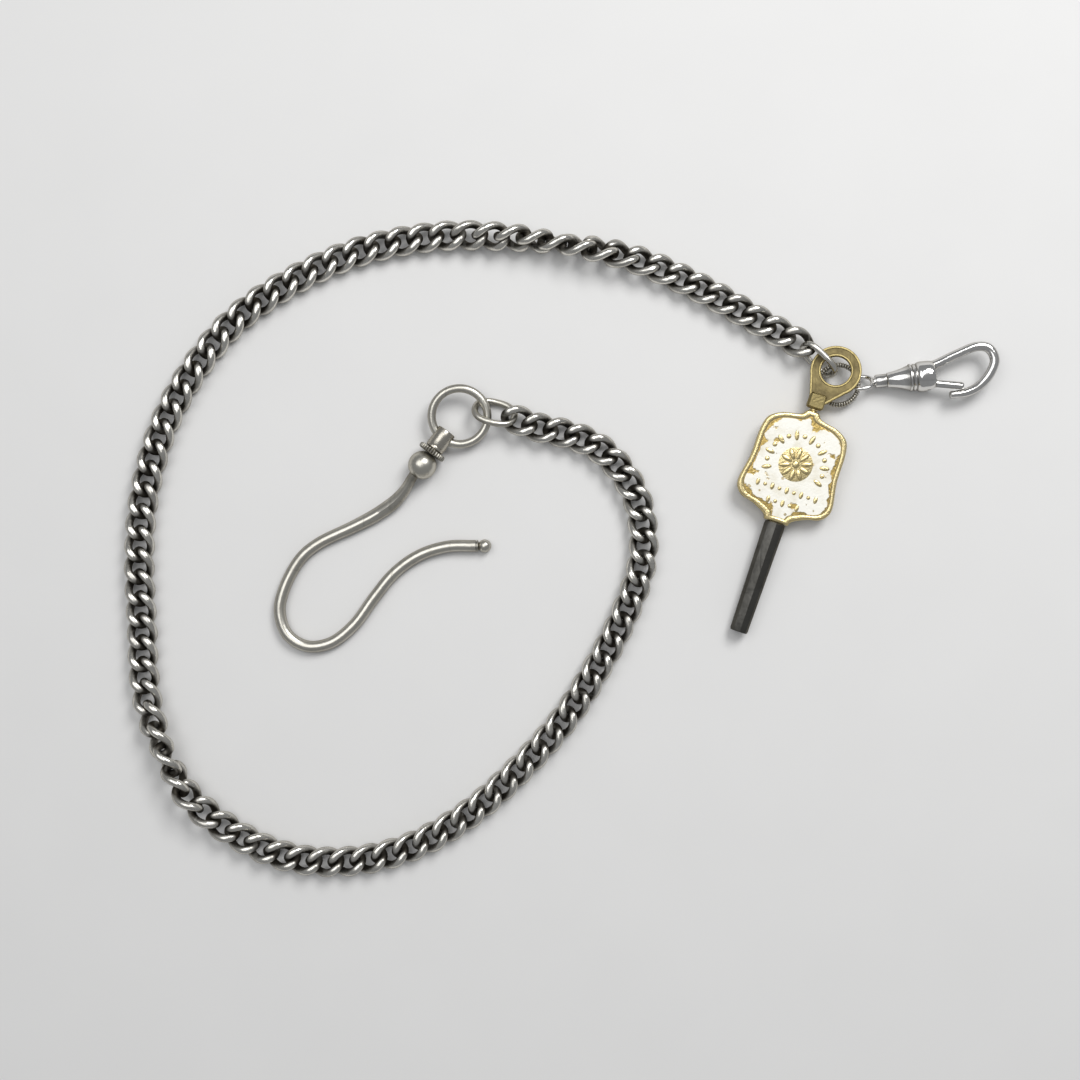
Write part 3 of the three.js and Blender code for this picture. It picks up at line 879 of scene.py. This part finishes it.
@dataclass
class HookEnd:
    """The connector link, the jump ring, the swivel and the long buttonhole hook."""

    connector_at: Triple = (-9.35, 20.23, 2.05)
    connector_size: Pair = (6.0, 4.37)
    connector_wire: float = 0.95
    connector_heading: float = -13.7
    connector_roll: float = -41.5
    ring_at: Triple = (-14.57, 19.64, 2.27)
    ring_heading: float = 280.0
    ring_dip: float = 7.2
    ring_radius: float = 4.14
    ring_wire: float = 1.24
    ring_clearance: float = 0.2
    ball_at: Triple = (-20.1, 12.4, 2.3)
    ball_radius: float = 2.1
    swivel_heading: float = 54.0
    swivel_dip: float = 2.0
    collar_from: float = 1.98
    drum_radius: float = 1.45
    drum_bore: float = 0.95
    pin_radius: float = 0.36
    collar_milling: Milling = Milling(30, 0.2, 2.05, 2.85)
    hook_radius: float = 0.88
    ridge_starts: Pair = (0.5, 7.0)
    ridged_length: float = 17.0
    tip_radius: float = 0.98
    tip_centre: float = 1.32
    hook_route: tuple[Triple, ...] = (
        (-21.1, 11.4, 2.15), (-21.8, 10.3, 1.9), (-22.7, 8.8, 1.6), (-24.2, 7.1, 1.25), (-27.0, 5.1, 1.05),
        (-30.2, 3.4, 0.95), (-35.8, 0.7, 0.9),
        (-38.3, -1.4, 0.9), (-40.7, -5.7, 0.9), (-41.5, -9.4, 0.9), (-40.3, -12.9, 0.9), (-37.4, -14.6, 0.9),
        (-33.9, -14.1, 0.9), (-30.4, -11.4, 0.9), (-27.3, -7.2, 0.9), (-24.3, -3.6, 0.9), (-20.6, -1.0, 0.92),
        (-16.4, 0.3, 0.96), (-12.2, 0.4, 1.0),
    )

    def __post_init__(self) -> None:
        """Places the frames of the ring and the swivel."""
        self.ring_frame = placement(self.ring_at, self.ring_heading, self.ring_dip)
        self.swivel = placement(self.ball_at, self.swivel_heading, self.swivel_dip)

    def build_rings(self) -> None:
        """The connector link and the jump ring."""
        path = oval_path(*self.connector_size, 72, power=2.4)
        # Painted shade on the underside of the wire.
        oval = sweep(path, round_section(self.connector_wire / 2, 16), closed=True, painted_underside_shade=0.7)
        lying = placement(self.connector_at, self.connector_heading, 0, self.connector_roll)
        connector = oval.placed(lying)
        make_piece("connector_link_wire", connector, FITTING_SILVER, "connector_link", ("connector_link",))
        path = ring_path(self.ring_radius, 96)
        # Painted shade on the underside of the wire.
        ring = sweep(path, round_section(self.ring_wire / 2, 18), closed=True, painted_underside_shade=0.8)
        ring = ring.placed(self.ring_frame)
        make_piece("jump_ring_wire", ring, FITTING_SILVER, "jump_ring", ("jump_ring",))

    def build_swivel(self) -> None:
        """The drum with its two holes for the ring, the pin, the milled collar and the ball."""
        drum = turned([
            (2.96, 0), (2.96, 1.3), (3.06, 1.42), (3.3, self.drum_radius), (3.42, 1.38),
            (3.52, self.drum_radius), (6.1, self.drum_radius), (6.2, 1.4), (6.25, 1.3), (6.25, 1.05),
            (6.2, 0.98), (3.6, self.drum_bore), (3.3, self.drum_bore), (3.3, 0.46), (2.97, 0.46), (2.97, 0),
        ], 64)
        cup = drum.placed(self.swivel)
        piece = make_piece("swivel_drum_cup", cup, DRUM_SILVER, "swivel_drum", ("swivel_drum",))
        clearance = round_section(self.ring_wire / 2 + self.ring_clearance, 16)
        passage = sweep(ring_path(self.ring_radius, 96), clearance, closed=True)
        cut_away(piece, passage.placed(self.ring_frame))
        pin = turned([
            (2.88, 0), (2.88, self.pin_radius), (3.4, self.pin_radius), (3.4, 0.72), (3.46, 0.78),
            (3.7, 0.74), (3.84, 0.5), (3.86, 0),
        ], 32)
        make_piece("swivel_pin_head", pin.placed(self.swivel), FITTING_SILVER, "hook", ("swivel_pin",))
        collar = turned([
            (2.04, 0), (2.04, 1.6), (2.08, 1.98), (2.16, 2.12), (2.3, 2.15), (2.6, 2.15), (2.74, 2.12),
            (2.82, 1.98), (2.86, 1.6), (2.86, 0),
        ], milling=self.collar_milling)
        rim = collar.placed(self.swivel)
        make_piece("milled_collar", rim, FITTING_SILVER, "hook", ("swivel_collar",), 60)
        flat = math.acos(self.collar_from / self.ball_radius)
        arc = [math.pi - (math.pi - flat) * i / 30 for i in range(31)]
        ball = [(self.ball_radius * math.cos(a), self.ball_radius * math.sin(a)) for a in arc]
        shape = turned([*ball, (self.collar_from, 0)], 64)
        shape.age_and_shade = smoothstep(shape.points[:, 0], 1.2, 2.0) * 0.8
        make_piece("swivel_ball", shape.placed(self.swivel), FITTING_SILVER, "hook", ("hook_ball",))

    def build_hook(self) -> None:
        """The hook's wire, ridged near the ball and round after it, and the bead at its tip."""
        path = smooth_curve(list(self.hook_route), 170)
        along = np.concatenate([[0], np.cumsum(np.linalg.norm(np.diff(path, axis=0), axis=1))])
        sections = []
        for distance in along:
            ridge = 1 - float(smoothstep(distance, self.ridge_starts[1], self.ridged_length))
            swell = float(smoothstep(distance, *self.ridge_starts)) * ridge
            width = 0.86 + 0.34 * swell + 0.14 * (1 - ridge)
            sections.append(round_section(self.hook_radius * (1 - 0.04 * ridge), 20, 2 - 0.6 * ridge, width))
        # Painted shade on the underside of the wire.
        shape = sweep(path, np.array(sections), closed=False, painted_underside_shade=0.85)
        shape.age_and_shade += np.repeat(1 - smoothstep(along, 1.0, 3.0), 20) * 0.5
        make_piece("buttonhole_hook", shape, FITTING_SILVER, "hook", ("hook_wire",))
        direction = path[-1] - path[-4]
        heading = math.degrees(math.atan2(direction[1], direction[0]))
        tip = placement(tuple(path[-1]), heading)
        arc = [math.radians(a) for a in range(150, -1, -10)]
        radius = self.tip_radius
        dome = [(self.tip_centre + radius * math.cos(a), radius * math.sin(a)) for a in arc]
        bead = turned([(0.06, 0), (0.06, 0.72), (0.12, 0.9), (0.26, 0.92), (0.34, 0.74), *dome], 40)
        bead.age_and_shade = 0.8 * (1 - smoothstep(np.abs(bead.points[:, 0] - 0.38), 0.02, 0.14))
        make_piece("hook_tip", bead.placed(tip), FITTING_SILVER, "hook", ("hook_tip_bead",))

    def build(self) -> None:
        """Makes the whole hook end."""
        self.build_rings()
        self.build_swivel()
        self.build_hook()


def cut_away(piece: bpy.types.Object, cutter_shape: Shape) -> None:
    """Cuts a shape out of a piece.

    Args:
        piece: The piece, which keeps its material.
        cutter_shape: What is cut out of it, in the coordinates of the laid-out chain.
    """
    mesh = bpy.data.meshes.new("cutter")
    points = (cutter_shape.points - np.array([*PLAN_CENTRE, 0.0])) * MM
    mesh.from_pydata(points.tolist(), [], cutter_shape.faces)
    build = bmesh.new()
    build.from_mesh(mesh)
    bmesh.ops.recalc_face_normals(build, faces=build.faces)
    build.to_mesh(mesh)
    build.free()
    cutter = bpy.data.objects.new("cutter", mesh)
    bpy.context.scene.collection.objects.link(cutter)
    cut = piece.modifiers.new("cut", "BOOLEAN")
    cut.operation = "DIFFERENCE"
    cut.solver = "EXACT"
    cut.object = cutter
    bpy.context.view_layer.update()
    evaluated = piece.evaluated_get(bpy.context.evaluated_depsgraph_get())
    result = bpy.data.meshes.new_from_object(evaluated)
    piece.modifiers.clear()
    piece.data = result
    bpy.data.objects.remove(cutter)


@dataclass
class KeyEnd:
    """The end link, the milled ring and the winding key with its bow, plate and pipe."""

    link_at: Triple = (38.8, 28.09, 2.04)
    link_size: Pair = (5.95, 3.38)
    link_wire: float = 0.92
    link_heading: float = -44.8
    link_roll: float = 66.0
    ring_at: Triple = (41.81, 24.38, 1.62)
    ring_radius: float = 2.95
    ring_wire: float = 0.84
    ring_heading: float = 235.0
    ring_dip: float = 2.8
    ring_flutes: int = 48
    ring_flute_depth: float = 0.3
    boss_at: Triple = (38.3, 21.8, 2.92)
    heading: float = -108.4
    dip: float = 2.3
    boss_length: float = 2.3
    boss_width: float = 2.4
    boss_thickness: float = 1.7
    bow_radius: float = 3.75
    bow_hole: float = 2.2
    bow_thickness: float = 0.72
    bow_centre: Pair = (41.2, 26.3)
    bow_slope: Pair = (0.15, -0.118)
    bow_shoulder: float = 52.0
    plate_top: float = 1.65
    plate_length: float = 17.2
    plate_half: float = 0.75
    rim: float = 0.75
    recess: float = 0.2
    pipe_from: float = 18.9
    pipe_length: float = 17.1
    pipe_profile: tuple[Pair, ...] = (
        (0, 1.3), (0.12, 1.52), (0.6, 1.58), (6, 1.5), (12, 1.42), (16.8, 1.35), (17.1, 1.26),
    )
    socket_depth: float = 7.0
    socket_width: float = 1.5
    rosette_petals: int = 10
    rosette_radius: float = 1.6
    leaf_arc_radius: float = 4.3
    leaf_rows: tuple[tuple[float, int], ...] = ((12.3, 9), (14.3, 5))
    leaf_spacing: float = 1.12
    plate_outline: tuple[Pair, ...] = (
        (0, 0.85), (0.75, 1.5), (1.5, 4.4), (2.6, 6.0), (4.2, 6.5), (8.8, 6.65), (13.4, 7.2), (14.8, 6.2),
        (15.5, 4.0), (16.6, 2.0), (17.2, 1.75),
    )

    def __post_init__(self) -> None:
        """Places the key's frame: X runs down the key from its bow's boss, Z is up."""
        self.key = placement(self.boss_at, self.heading, self.dip)

    def build_rings(self) -> None:
        """The end link, and the small ring with a milled edge that carries the key and the clasp."""
        path = oval_path(*self.link_size, 72, power=3)
        oval = sweep(path, round_section(self.link_wire / 2, 16), closed=True)
        oval.age_and_shade += 0.15
        link = oval.placed(placement(self.link_at, self.link_heading, 0, self.link_roll))
        make_piece("end_link_wire", link, CHAIN_SILVER, "end_link", ("end_link",))
        steps, sides = 432, 14
        angle = np.arange(steps) * 2 * math.pi / steps
        groove = 0.5 - 0.5 * np.cos(self.ring_flutes * angle)
        wire = round_section(self.ring_wire / 2, sides)
        sections = np.array([wire * (1 - self.ring_flute_depth * g) for g in groove])
        ring = sweep(ring_path(self.ring_radius, steps), sections, closed=True)
        ring.age_and_shade = np.repeat(groove, sides) * 0.9
        ring = ring.placed(placement(self.ring_at, self.ring_heading, self.ring_dip))
        make_piece("milled_ring_wire", ring, FITTING_SILVER, "milled_ring", ("milled_ring",), 70)

    def bow_frame(self) -> tuple[Array, float]:
        """The bow's frame, with X towards the boss.

        Returns:
            A 4 by 4 matrix, and how far away the boss is.
        """
        slope_x, slope_y = self.bow_slope
        boss = np.array(self.boss_at)
        rise = slope_x * (self.bow_centre[0] - boss[0]) + slope_y * (self.bow_centre[1] - boss[1])
        centre = np.array([*self.bow_centre, boss[2] + rise])
        normal = np.array([-slope_x, -slope_y, 1.0])
        normal = normal / np.linalg.norm(normal)
        towards = boss - centre
        towards = towards - normal * (towards @ normal)
        reach = float(np.linalg.norm(towards))
        matrix = np.eye(4)
        matrix[:3, 0] = towards / reach
        matrix[:3, 1] = np.cross(normal, towards / reach)
        matrix[:3, 2] = normal
        matrix[:3, 3] = centre
        return matrix, reach

    def bow_loop(self, reach: float, grow: float, height: float, count: int = 144) -> Array:
        """One loop of the bow's outer outline: a circle that runs in shoulders to the boss.

        Args:
            reach: How far away the boss is.
            grow: How far outside the outline the loop lies.
            height: The loop's height.
            count: How many points it has.

        Returns:
            The loop.
        """
        radius, half = self.bow_radius + grow, self.boss_width / 2 + grow
        loop = []
        for k in range(count):
            angle = 2 * math.pi * k / count
            turn = abs((angle + math.pi) % (2 * math.pi) - math.pi)
            corner = math.atan2(half, reach)
            shoulder = math.radians(self.bow_shoulder)
            if turn <= corner:
                distance = reach / math.cos(turn)
            elif turn < shoulder:
                start = np.array([reach, half])
                end = radius * np.array([math.cos(shoulder), math.sin(shoulder)])
                along = end - start
                ray = np.array([math.cos(turn), math.sin(turn)])
                cross = ray[0] * along[1] - ray[1] * along[0]
                distance = (start[0] * along[1] - start[1] * along[0]) / cross
            else:
                distance = radius
            loop.append((distance * math.cos(angle), distance * math.sin(angle), height))
        return np.array(loop)

    def build_bow(self) -> None:
        """The flat bow with fine raised borders, and the square boss below it."""
        matrix, reach = self.bow_frame()
        half, hole = self.bow_thickness / 2, self.bow_hole
        circle = ring_path(1.0, 144)

        def inner(radius: float, height: float) -> Array:
            """A loop of the hole's side of the bow."""
            return circle * radius + np.array([0, 0, height])

        loops = [
            self.bow_loop(reach, -0.1, -half), self.bow_loop(reach, 0.0, 0.1 - half),
            self.bow_loop(reach, 0.0, half - 0.1), self.bow_loop(reach, -0.08, half),
            self.bow_loop(reach, -0.3, half), self.bow_loop(reach, -0.38, half - 0.09),
            inner(hole + 0.36, half - 0.09), inner(hole + 0.28, half), inner(hole + 0.1, half),
            inner(hole, half - 0.1), inner(hole, 0.1 - half), inner(hole + 0.1, -half),
        ]
        count = len(circle)
        points = np.concatenate(loops)
        faces = []
        for i in range(len(loops)):
            for k in range(count):
                a, b = i * count + k, i * count + (k + 1) % count
                after = (i + 1) % len(loops) * count - i * count
                faces.append((a, b, b + after, a + after))
        age_and_shade = np.zeros(len(points))
        age_and_shade[5 * count:7 * count] = 0.75
        bow = Shape(points, faces, age_and_shade).placed(matrix)
        make_piece("key_bow_ring", bow, BOW_BRASS, "key_bow", ("key_bow",))
        long, wide, tall = self.boss_length / 2, self.boss_width / 2, self.boss_thickness / 2
        boss = rounded_block((-long, -wide, -tall), (long, wide, tall), 0.22)
        make_piece("key_bow_boss", boss.placed(self.key), BOW_BRASS, "key_bow", (), 25)
        pin = turned([
            (1.0, 0), (1.0, 0.42), (1.2, 0.45), (1.3, 0.62), (1.42, 0.62), (1.5, 0.45), (1.63, 0.5),
            (1.63, 0),
        ], 32)
        make_piece("key_stem", pin.placed(self.key), GILT, "key", ("key_swivel_pin",))

    def plate_loop(self, inset: float, height: float) -> Array:
        """The plate's outline as one loop.

        Args:
            inset: How far inside the plate's edge it lies.
            height: Its height above the middle of the plate.

        Returns:
            The loop.
        """
        centre = self.plate_length / 2
        shrink = 1 - inset / centre
        side = [(centre + (u - centre) * shrink, max(v - inset, 0.15)) for u, v in self.plate_outline]
        right = smooth_curve(side, 90)
        left = right[::-1] * np.array([1, -1])
        outline = np.concatenate([right, left])
        heights = np.full((len(outline), 1), height)
        return np.concatenate([outline + np.array([self.plate_top, 0]), heights], axis=1)

    def build_plate(self) -> None:
        """The plate with its raised rims, and a pale worn field in each face."""
        half, floor = self.plate_half, self.plate_half - self.recess
        upper = [(0.0, half - 0.22), (0.06, half - 0.08), (0.2, half), (0.5, half)]
        upper += [(self.rim - 0.12, half - 0.06), (self.rim, floor), (self.rim + 0.12, floor)]
        profile = [(inset, -height) for inset, height in upper[::-1]] + upper
        plate = stacked([self.plate_loop(inset, height) for inset, height in profile])
        make_piece("key_plate_body", plate.placed(self.key), GILT, "key", ("key_plate",))
        for name, side in (("front", 1), ("back", -1)):
            edge = self.plate_loop(self.rim + 0.02, side * (floor - 0.05))
            top = self.plate_loop(self.rim + 0.04, side * (floor + 0.05))
            inner = self.plate_loop(self.rim + 0.55, side * (floor + 0.07))
            centre = edge.mean(axis=0)
            core = centre + (inner - centre) * np.array([0.55, 0.5, 1.0])
            shape = stacked([edge, top, inner, core])
            count = len(edge)
            shape.age_and_shade = np.concatenate([np.ones(2 * count), np.full(count, 0.45), np.zeros(count)])
            make_piece(f"key_field_{name}", shape.placed(self.key), ENAMEL, "key")
        self.build_ornament(floor + 0.05)

    def build_ornament(self, height: float) -> None:
        """A raised rosette on a disc, an arc of leaves and beads, and two rows of lozenges and beads.

        Args:
            height: How high the field lies above the middle of the plate.
        """
        centre = self.plate_top + 8.2

        def relief(at: Pair, size: Triple, heading: float, sides: int = 16) -> Shape:
            """A low oval boss on the plate's field.

            Args:
                at: Its middle, in the plate's plane.
                size: Its half length, its half width and its height.
                heading: Degrees from the plate's length.
                sides: How many steps go round it.

            Returns:
                The boss.
            """
            circle = ring_path(1, sides)
            loops = [circle - np.array([0, 0, 0.4])]
            for rise in np.radians([0, 30, 55, 75, 87]):
                loops.append(circle * math.cos(rise) + np.array([0, 0, math.sin(rise)]))
            shape = stacked(loops)
            shape.points = shape.points * np.array(size)
            return shape.placed(placement((at[0], at[1], height), heading))

        parts = []
        for k in range(self.rosette_petals):
            degrees = 360 * k / self.rosette_petals
            angle = math.radians(degrees)
            reach = self.rosette_radius
            at = (centre + reach * math.cos(angle), reach * math.sin(angle))
            parts.append(relief(at, (0.98, 0.42, 0.24), degrees))
        parts.append(relief((centre, 0.0), (0.62, 0.62, 0.28), 0, 24))
        parts.append(relief((centre, 0.0), (2.7, 2.7, 0.1), 0, 64))
        for k in range(15):
            angle = math.radians(68 + 16 * k)
            reach = self.leaf_arc_radius
            at = (centre + reach * math.cos(angle), reach * math.sin(angle))
            size = (0.8, 0.36, 0.14) if k % 2 == 0 else (0.38, 0.38, 0.14)
            parts.append(relief(at, size, math.degrees(angle)))
        for u, count in self.leaf_rows:
            for k in range(count):
                across = (k - (count - 1) / 2) * self.leaf_spacing
                size = (0.6, 0.34, 0.12) if k % 2 == 0 else (0.32, 0.32, 0.13)
                parts.append(relief((self.plate_top + u, across), size, 0, 8))
        make_piece("key_ornament", parts[0].and_also(*parts[1:]).placed(self.key), GILT, "key")

    def build_pipe(self) -> None:
        """The tapered pipe with eight soft flats, and a square socket in its end."""
        end = self.pipe_from + self.pipe_length
        count = 64
        angle = np.arange(count) * 2 * math.pi / count
        loops = []
        for x, radius in self.pipe_profile:
            section = round_section(radius, count)
            flats = math.cos(math.pi / 8) / np.cos((angle % (math.pi / 4)) - math.pi / 8)
            blend = 0.6 + 0.4 * float(smoothstep(x, 0, 3))
            section = section * (1 + (flats - 1) * blend)[:, None]
            loops.append(np.concatenate([np.full((count, 1), self.pipe_from + x), section], axis=1))
        circle = np.stack([np.cos(angle), np.sin(angle)], axis=1)
        square = circle * (self.socket_width / 2 / np.abs(circle).max(axis=1))[:, None]
        for x, grow in ((end, 1.04), (end - 0.1, 1.0), (end - self.socket_depth, 1.0)):
            loops.append(np.concatenate([np.full((count, 1), x), square * grow], axis=1))
        shape = stacked(loops)
        shape.age_and_shade[-2 * count:] = 1.0
        make_piece("key_pipe_tube", shape.placed(self.key), BROWNED_STEEL, "key", ("key_pipe",), 16)

    def build(self) -> None:
        """Makes the whole key end."""
        self.build_rings()
        self.build_bow()
        self.build_plate()
        self.build_pipe()


@dataclass
class Clasp:
    """The spring clasp: eye, body, wire loop and channel-shaped gate."""

    face_at: Triple = (55.9, 25.72, 2.38)
    heading: float = 5.6
    dip: float = -3.2
    eye_centre: float = -10.66
    eye_half: Pair = (1.56, 1.35)
    eye_wire: float = 0.64
    eye_lean: float = 45.0
    hook_radius: float = 0.68
    pivot: Pair = (-0.45, -1.12)
    gate_tip: Pair = (4.05, -1.98)
    gate_section: tuple[Pair, ...] = (
        (0.64, -0.42), (0.57, -0.5), (0.44, -0.5), (0.37, -0.42), (0.35, -0.1), (0.28, -0.04),
        (-0.28, -0.04), (-0.35, -0.1), (-0.37, -0.42), (-0.44, -0.5), (-0.57, -0.5), (-0.64, -0.42),
        (-0.72, -0.25), (-0.75, -0.05), (-0.72, 0.15), (-0.62, 0.32), (-0.45, 0.44), (-0.2, 0.5),
        (0.2, 0.5), (0.45, 0.44), (0.62, 0.32), (0.72, 0.15), (0.75, -0.05), (0.72, -0.25),
    )
    spring_turns: int = 7
    spring_radius: float = 0.34
    spring_wire: float = 0.18
    spring_span: Pair = (-3.9, 2.3)
    body_profile: tuple[Pair, ...] = (
        (-4.2, 0), (-4.2, 1.16), (-5.2, 1.16), (-5.2, 0.76), (-8.7, 0.76), (-8.72, 0.86),
        (-8.6, 0.95), (-7.15, 0.96), (-7.08, 0.9), (-7.0, 0.98), (-6.9, 1.08), (-5.6, 1.3),
        (-4.7, 1.56), (-3.9, 1.85), (-3.82, 1.9), (-3.74, 2.0), (-3.62, 2.04), (-3.5, 2.0),
        (-3.42, 1.88), (-3.33, 1.83), (-3.22, 1.88), (-3.13, 2.0), (-3.02, 2.04), (-2.9, 2.0),
        (-2.82, 1.9), (-2.74, 1.9), (-2.6, 2.08), (-2.35, 2.2), (-2.0, 2.25), (-0.9, 2.25),
        (-0.45, 2.18), (-0.18, 2.06), (-0.04, 1.9), (0.0, 1.7), (0.0, 0),
    )
    body_grooves: tuple[float, ...] = (-7.08, -3.83, -3.33, -2.78)
    groove_width: float = 0.09
    hook_route: tuple[Triple, ...] = (
        (-1.25, 1.36, 0), (0.0, 1.5, 0), (3.4, 2.7, 0), (6.7, 3.6, 0), (8.3, 3.15, 0), (9.0, 1.4, 0),
        (8.0, -0.75, 0), (6.2, -2.35, 0), (4.3, -3.05, 0), (2.1, -3.15, 0),
    )

    def __post_init__(self) -> None:
        """Places the clasp's frame: X runs from the eye to the loop and is 0 at the body's face."""
        self.frame = placement(self.face_at, self.heading, self.dip)

    def build_eye(self) -> None:
        """The eye and its shank with the head that turns inside the body."""
        path = oval_path(2 * self.eye_half[0], 2 * self.eye_half[1], 64, power=2.2)
        eye = sweep(path, round_section(self.eye_wire / 2, 16), closed=True)
        leaning = placement((self.eye_centre, 0, 0), 0, 0, 90 + self.eye_lean)
        start = self.eye_centre + self.eye_half[0]
        shank = turned([
            (start - 0.05, 0), (start, 0.5), (start + 0.2, 0.62), (-5.0, 0.62), (-5.0, 1.02),
            (-4.45, 1.02), (-4.45, 0),
        ], 40)
        ring = eye.placed(leaning).placed(self.frame)
        make_piece("clasp_eye_ring", ring, NICKEL, "clasp_eye", ("clasp_eye",))
        make_piece("clasp_eye_shank", shank.placed(self.frame), NICKEL, "clasp_eye")

    def build_body(self) -> None:
        """The body: a cone, two fine collars and a barrel with a rounded shoulder."""
        body = turned(list(self.body_profile), 72)
        axial = body.points[:, 0]
        grooves = sum(np.exp(-((axial - x) / self.groove_width) ** 2) for x in self.body_grooves)
        body.age_and_shade = np.clip(grooves, 0, 1) * 0.8
        piece = make_piece("clasp_body_shell", body.placed(self.frame), NICKEL, "clasp", ("clasp_body",))
        slot = rounded_block((-1.35, -2.6, -0.9), (1.0, -0.35, 0.9), 0.05)
        cut_away(piece, slot.placed(self.frame))
        pin = turned([
            (-1.87, 0), (-1.87, 0.2), (-1.8, 0.28), (1.8, 0.28), (1.87, 0.2), (1.87, 0),
        ], 24)
        upright = placement((self.pivot[0], self.pivot[1], 0), 0, -90)
        rivet = pin.placed(upright).placed(self.frame)
        make_piece("clasp_gate_rivet", rivet, NICKEL, "clasp", ("clasp_gate_pin",))

    def build_spring(self) -> None:
        """The coil spring inside the body."""
        start, span = self.spring_span
        radius = self.spring_radius
        t = np.linspace(0, 1, self.spring_turns * 20)
        angle = 2 * math.pi * self.spring_turns * t
        path = np.stack([start + span * t, radius * np.cos(angle), radius * np.sin(angle)], axis=1)
        shape = sweep(path[:, [1, 2, 0]], round_section(self.spring_wire / 2, 8), closed=False)
        shape.points = shape.points[:, [2, 0, 1]]
        make_piece("clasp_coil", shape.placed(self.frame), BROWNED_STEEL, "clasp", ("clasp_spring",))

    def build_loop(self) -> None:
        """The wire loop, a little flattened round its end, with a bevelled nose outside the gate."""
        path = smooth_curve(list(self.hook_route), 120)
        share = np.linspace(0, 1, len(path))
        sections = []
        for s in share:
            broad = float(smoothstep(s, 0.3, 0.5) * (1 - smoothstep(s, 0.72, 0.86)))
            nose = float(smoothstep(s, 0.86, 1.0))
            sections.append(round_section(self.hook_radius, 20, 2.0 + 0.6 * broad, 1 - 0.2 * nose))
        # Painted shade on the underside of the wire.
        shape = sweep(path, np.array(sections), closed=False, dome=0.18, painted_underside_shade=0.5)
        make_piece("clasp_loop", shape.placed(self.frame), NICKEL, "clasp", ("clasp_hook",))

    def build_gate(self) -> None:
        """The gate: a channel with its open side outwards, hinged at the body's face."""
        run = np.array(self.gate_tip) - np.array(self.pivot)
        length = float(np.linalg.norm(run))
        heading = math.degrees(math.atan2(run[1], run[0]))
        outline = self.gate_section
        stations = ((-0.5, 0.75), (-0.38, 1.0), (length - 0.25, 1.0), (length, 0.8))
        loops = []
        for x, scale in stations:
            loops.append(np.array([(x, y * scale, z * scale) for z, y in outline]))
        shape = stacked(loops).placed(placement((*self.pivot, 0), heading))
        shape.age_and_shade = np.tile([1.0 if -0.45 < y < 0.0 and abs(z) < 0.4 else 0.0 for z, y in outline], 4)
        make_piece("clasp_gate_channel", shape.placed(self.frame), NICKEL, "gate", ("clasp_gate",), 30)

    def build(self) -> None:
        """Makes the whole clasp."""
        self.build_eye()
        self.build_body()
        self.build_spring()
        self.build_loop()
        self.build_gate()


@dataclass
class Studio:
    """The pale floor, the soft lights and the camera."""

    view_height: float = 0.225
    lens: float = 50.0
    aim: Pair = (-2.915, 1.345)
    floor_colour: Colour = (0.74, 0.735, 0.725)
    floor_half: float = 1.5
    window_at: Triple = (0.16, 0.24, 0.34)
    window_size: float = 0.2
    window_power: float = 1.25
    ceiling_at: Triple = (-0.2, 0.15, 0.6)
    ceiling_size: float = 0.5
    ceiling_power: float = 1.5
    room_colour: Colour = (0.95, 0.97, 1.0)
    room_strength: float = 0.3

    def build_floor(self) -> None:
        """A plain pale floor with a faint grain."""
        mesh = bpy.data.meshes.new("floor")
        half = self.floor_half
        corners = [(-half, -half, 0), (half, -half, 0), (half, half, 0), (-half, half, 0)]
        mesh.from_pydata(corners, [], [(0, 1, 2, 3)])
        paper = bpy.data.materials.new("pale paper")
        paper.use_nodes = True
        w = Wiring(paper.node_tree)
        shader = paper.node_tree.nodes["Principled BSDF"]
        shader.inputs["Roughness"].default_value = 0.75
        shader.inputs["Specular IOR Level"].default_value = 0.25
        darker = tuple(0.96 * value for value in self.floor_colour)
        grain = w.blend(w.noise(60.0, 3.0), (*self.floor_colour, 1), (*darker, 1))
        w.feed(shader.inputs["Base Color"], grain)
        mesh.materials.append(paper)
        floor = bpy.data.objects.new("floor", mesh)
        bpy.context.scene.collection.objects.link(floor)

    def build_light(self, name: str, at: Triple, size: float, power: float) -> None:
        """A square soft light that points at the middle of the chain.

        Args:
            name: Its name.
            at: Where it stands, in metres.
            size: The length of its side, in metres.
            power: Its power in watts.
        """
        data = bpy.data.lights.new(name, "AREA")
        data.size = size
        data.energy = power
        lamp = bpy.data.objects.new(name, data)
        lamp.location = at
        lamp.rotation_euler = (-Vector(at)).to_track_quat("-Z", "Y").to_euler()
        bpy.context.scene.collection.objects.link(lamp)

    def build(self) -> None:
        """Sets the stage."""
        self.build_floor()
        self.build_light("window", self.window_at, self.window_size, self.window_power)
        self.build_light("ceiling", self.ceiling_at, self.ceiling_size, self.ceiling_power)
        world = bpy.data.worlds.new("room")
        world.use_nodes = True
        light = world.node_tree.nodes["Background"]
        light.inputs["Color"].default_value = (*self.room_colour, 1)
        light.inputs["Strength"].default_value = self.room_strength
        bpy.context.scene.world = world
        data = bpy.data.cameras.new("camera")
        data.lens = self.lens
        camera = bpy.data.objects.new("camera", data)
        camera.location = (self.aim[0] * MM, self.aim[1] * MM, self.view_height)
        bpy.context.scene.collection.objects.link(camera)
        bpy.context.scene.camera = camera
        bpy.context.scene.view_settings.view_transform = "Standard"


def main() -> None:
    """Builds the stage and every sub-assembly, and logs each one as it is built."""
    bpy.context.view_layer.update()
    Studio().build()
    for assembly in (CurbChain(), HookEnd(), KeyEnd(), Clasp()):
        assembly.build()
        LOG.info("%s is built", type(assembly).__name__)


if __name__ == "__main__":
    main()
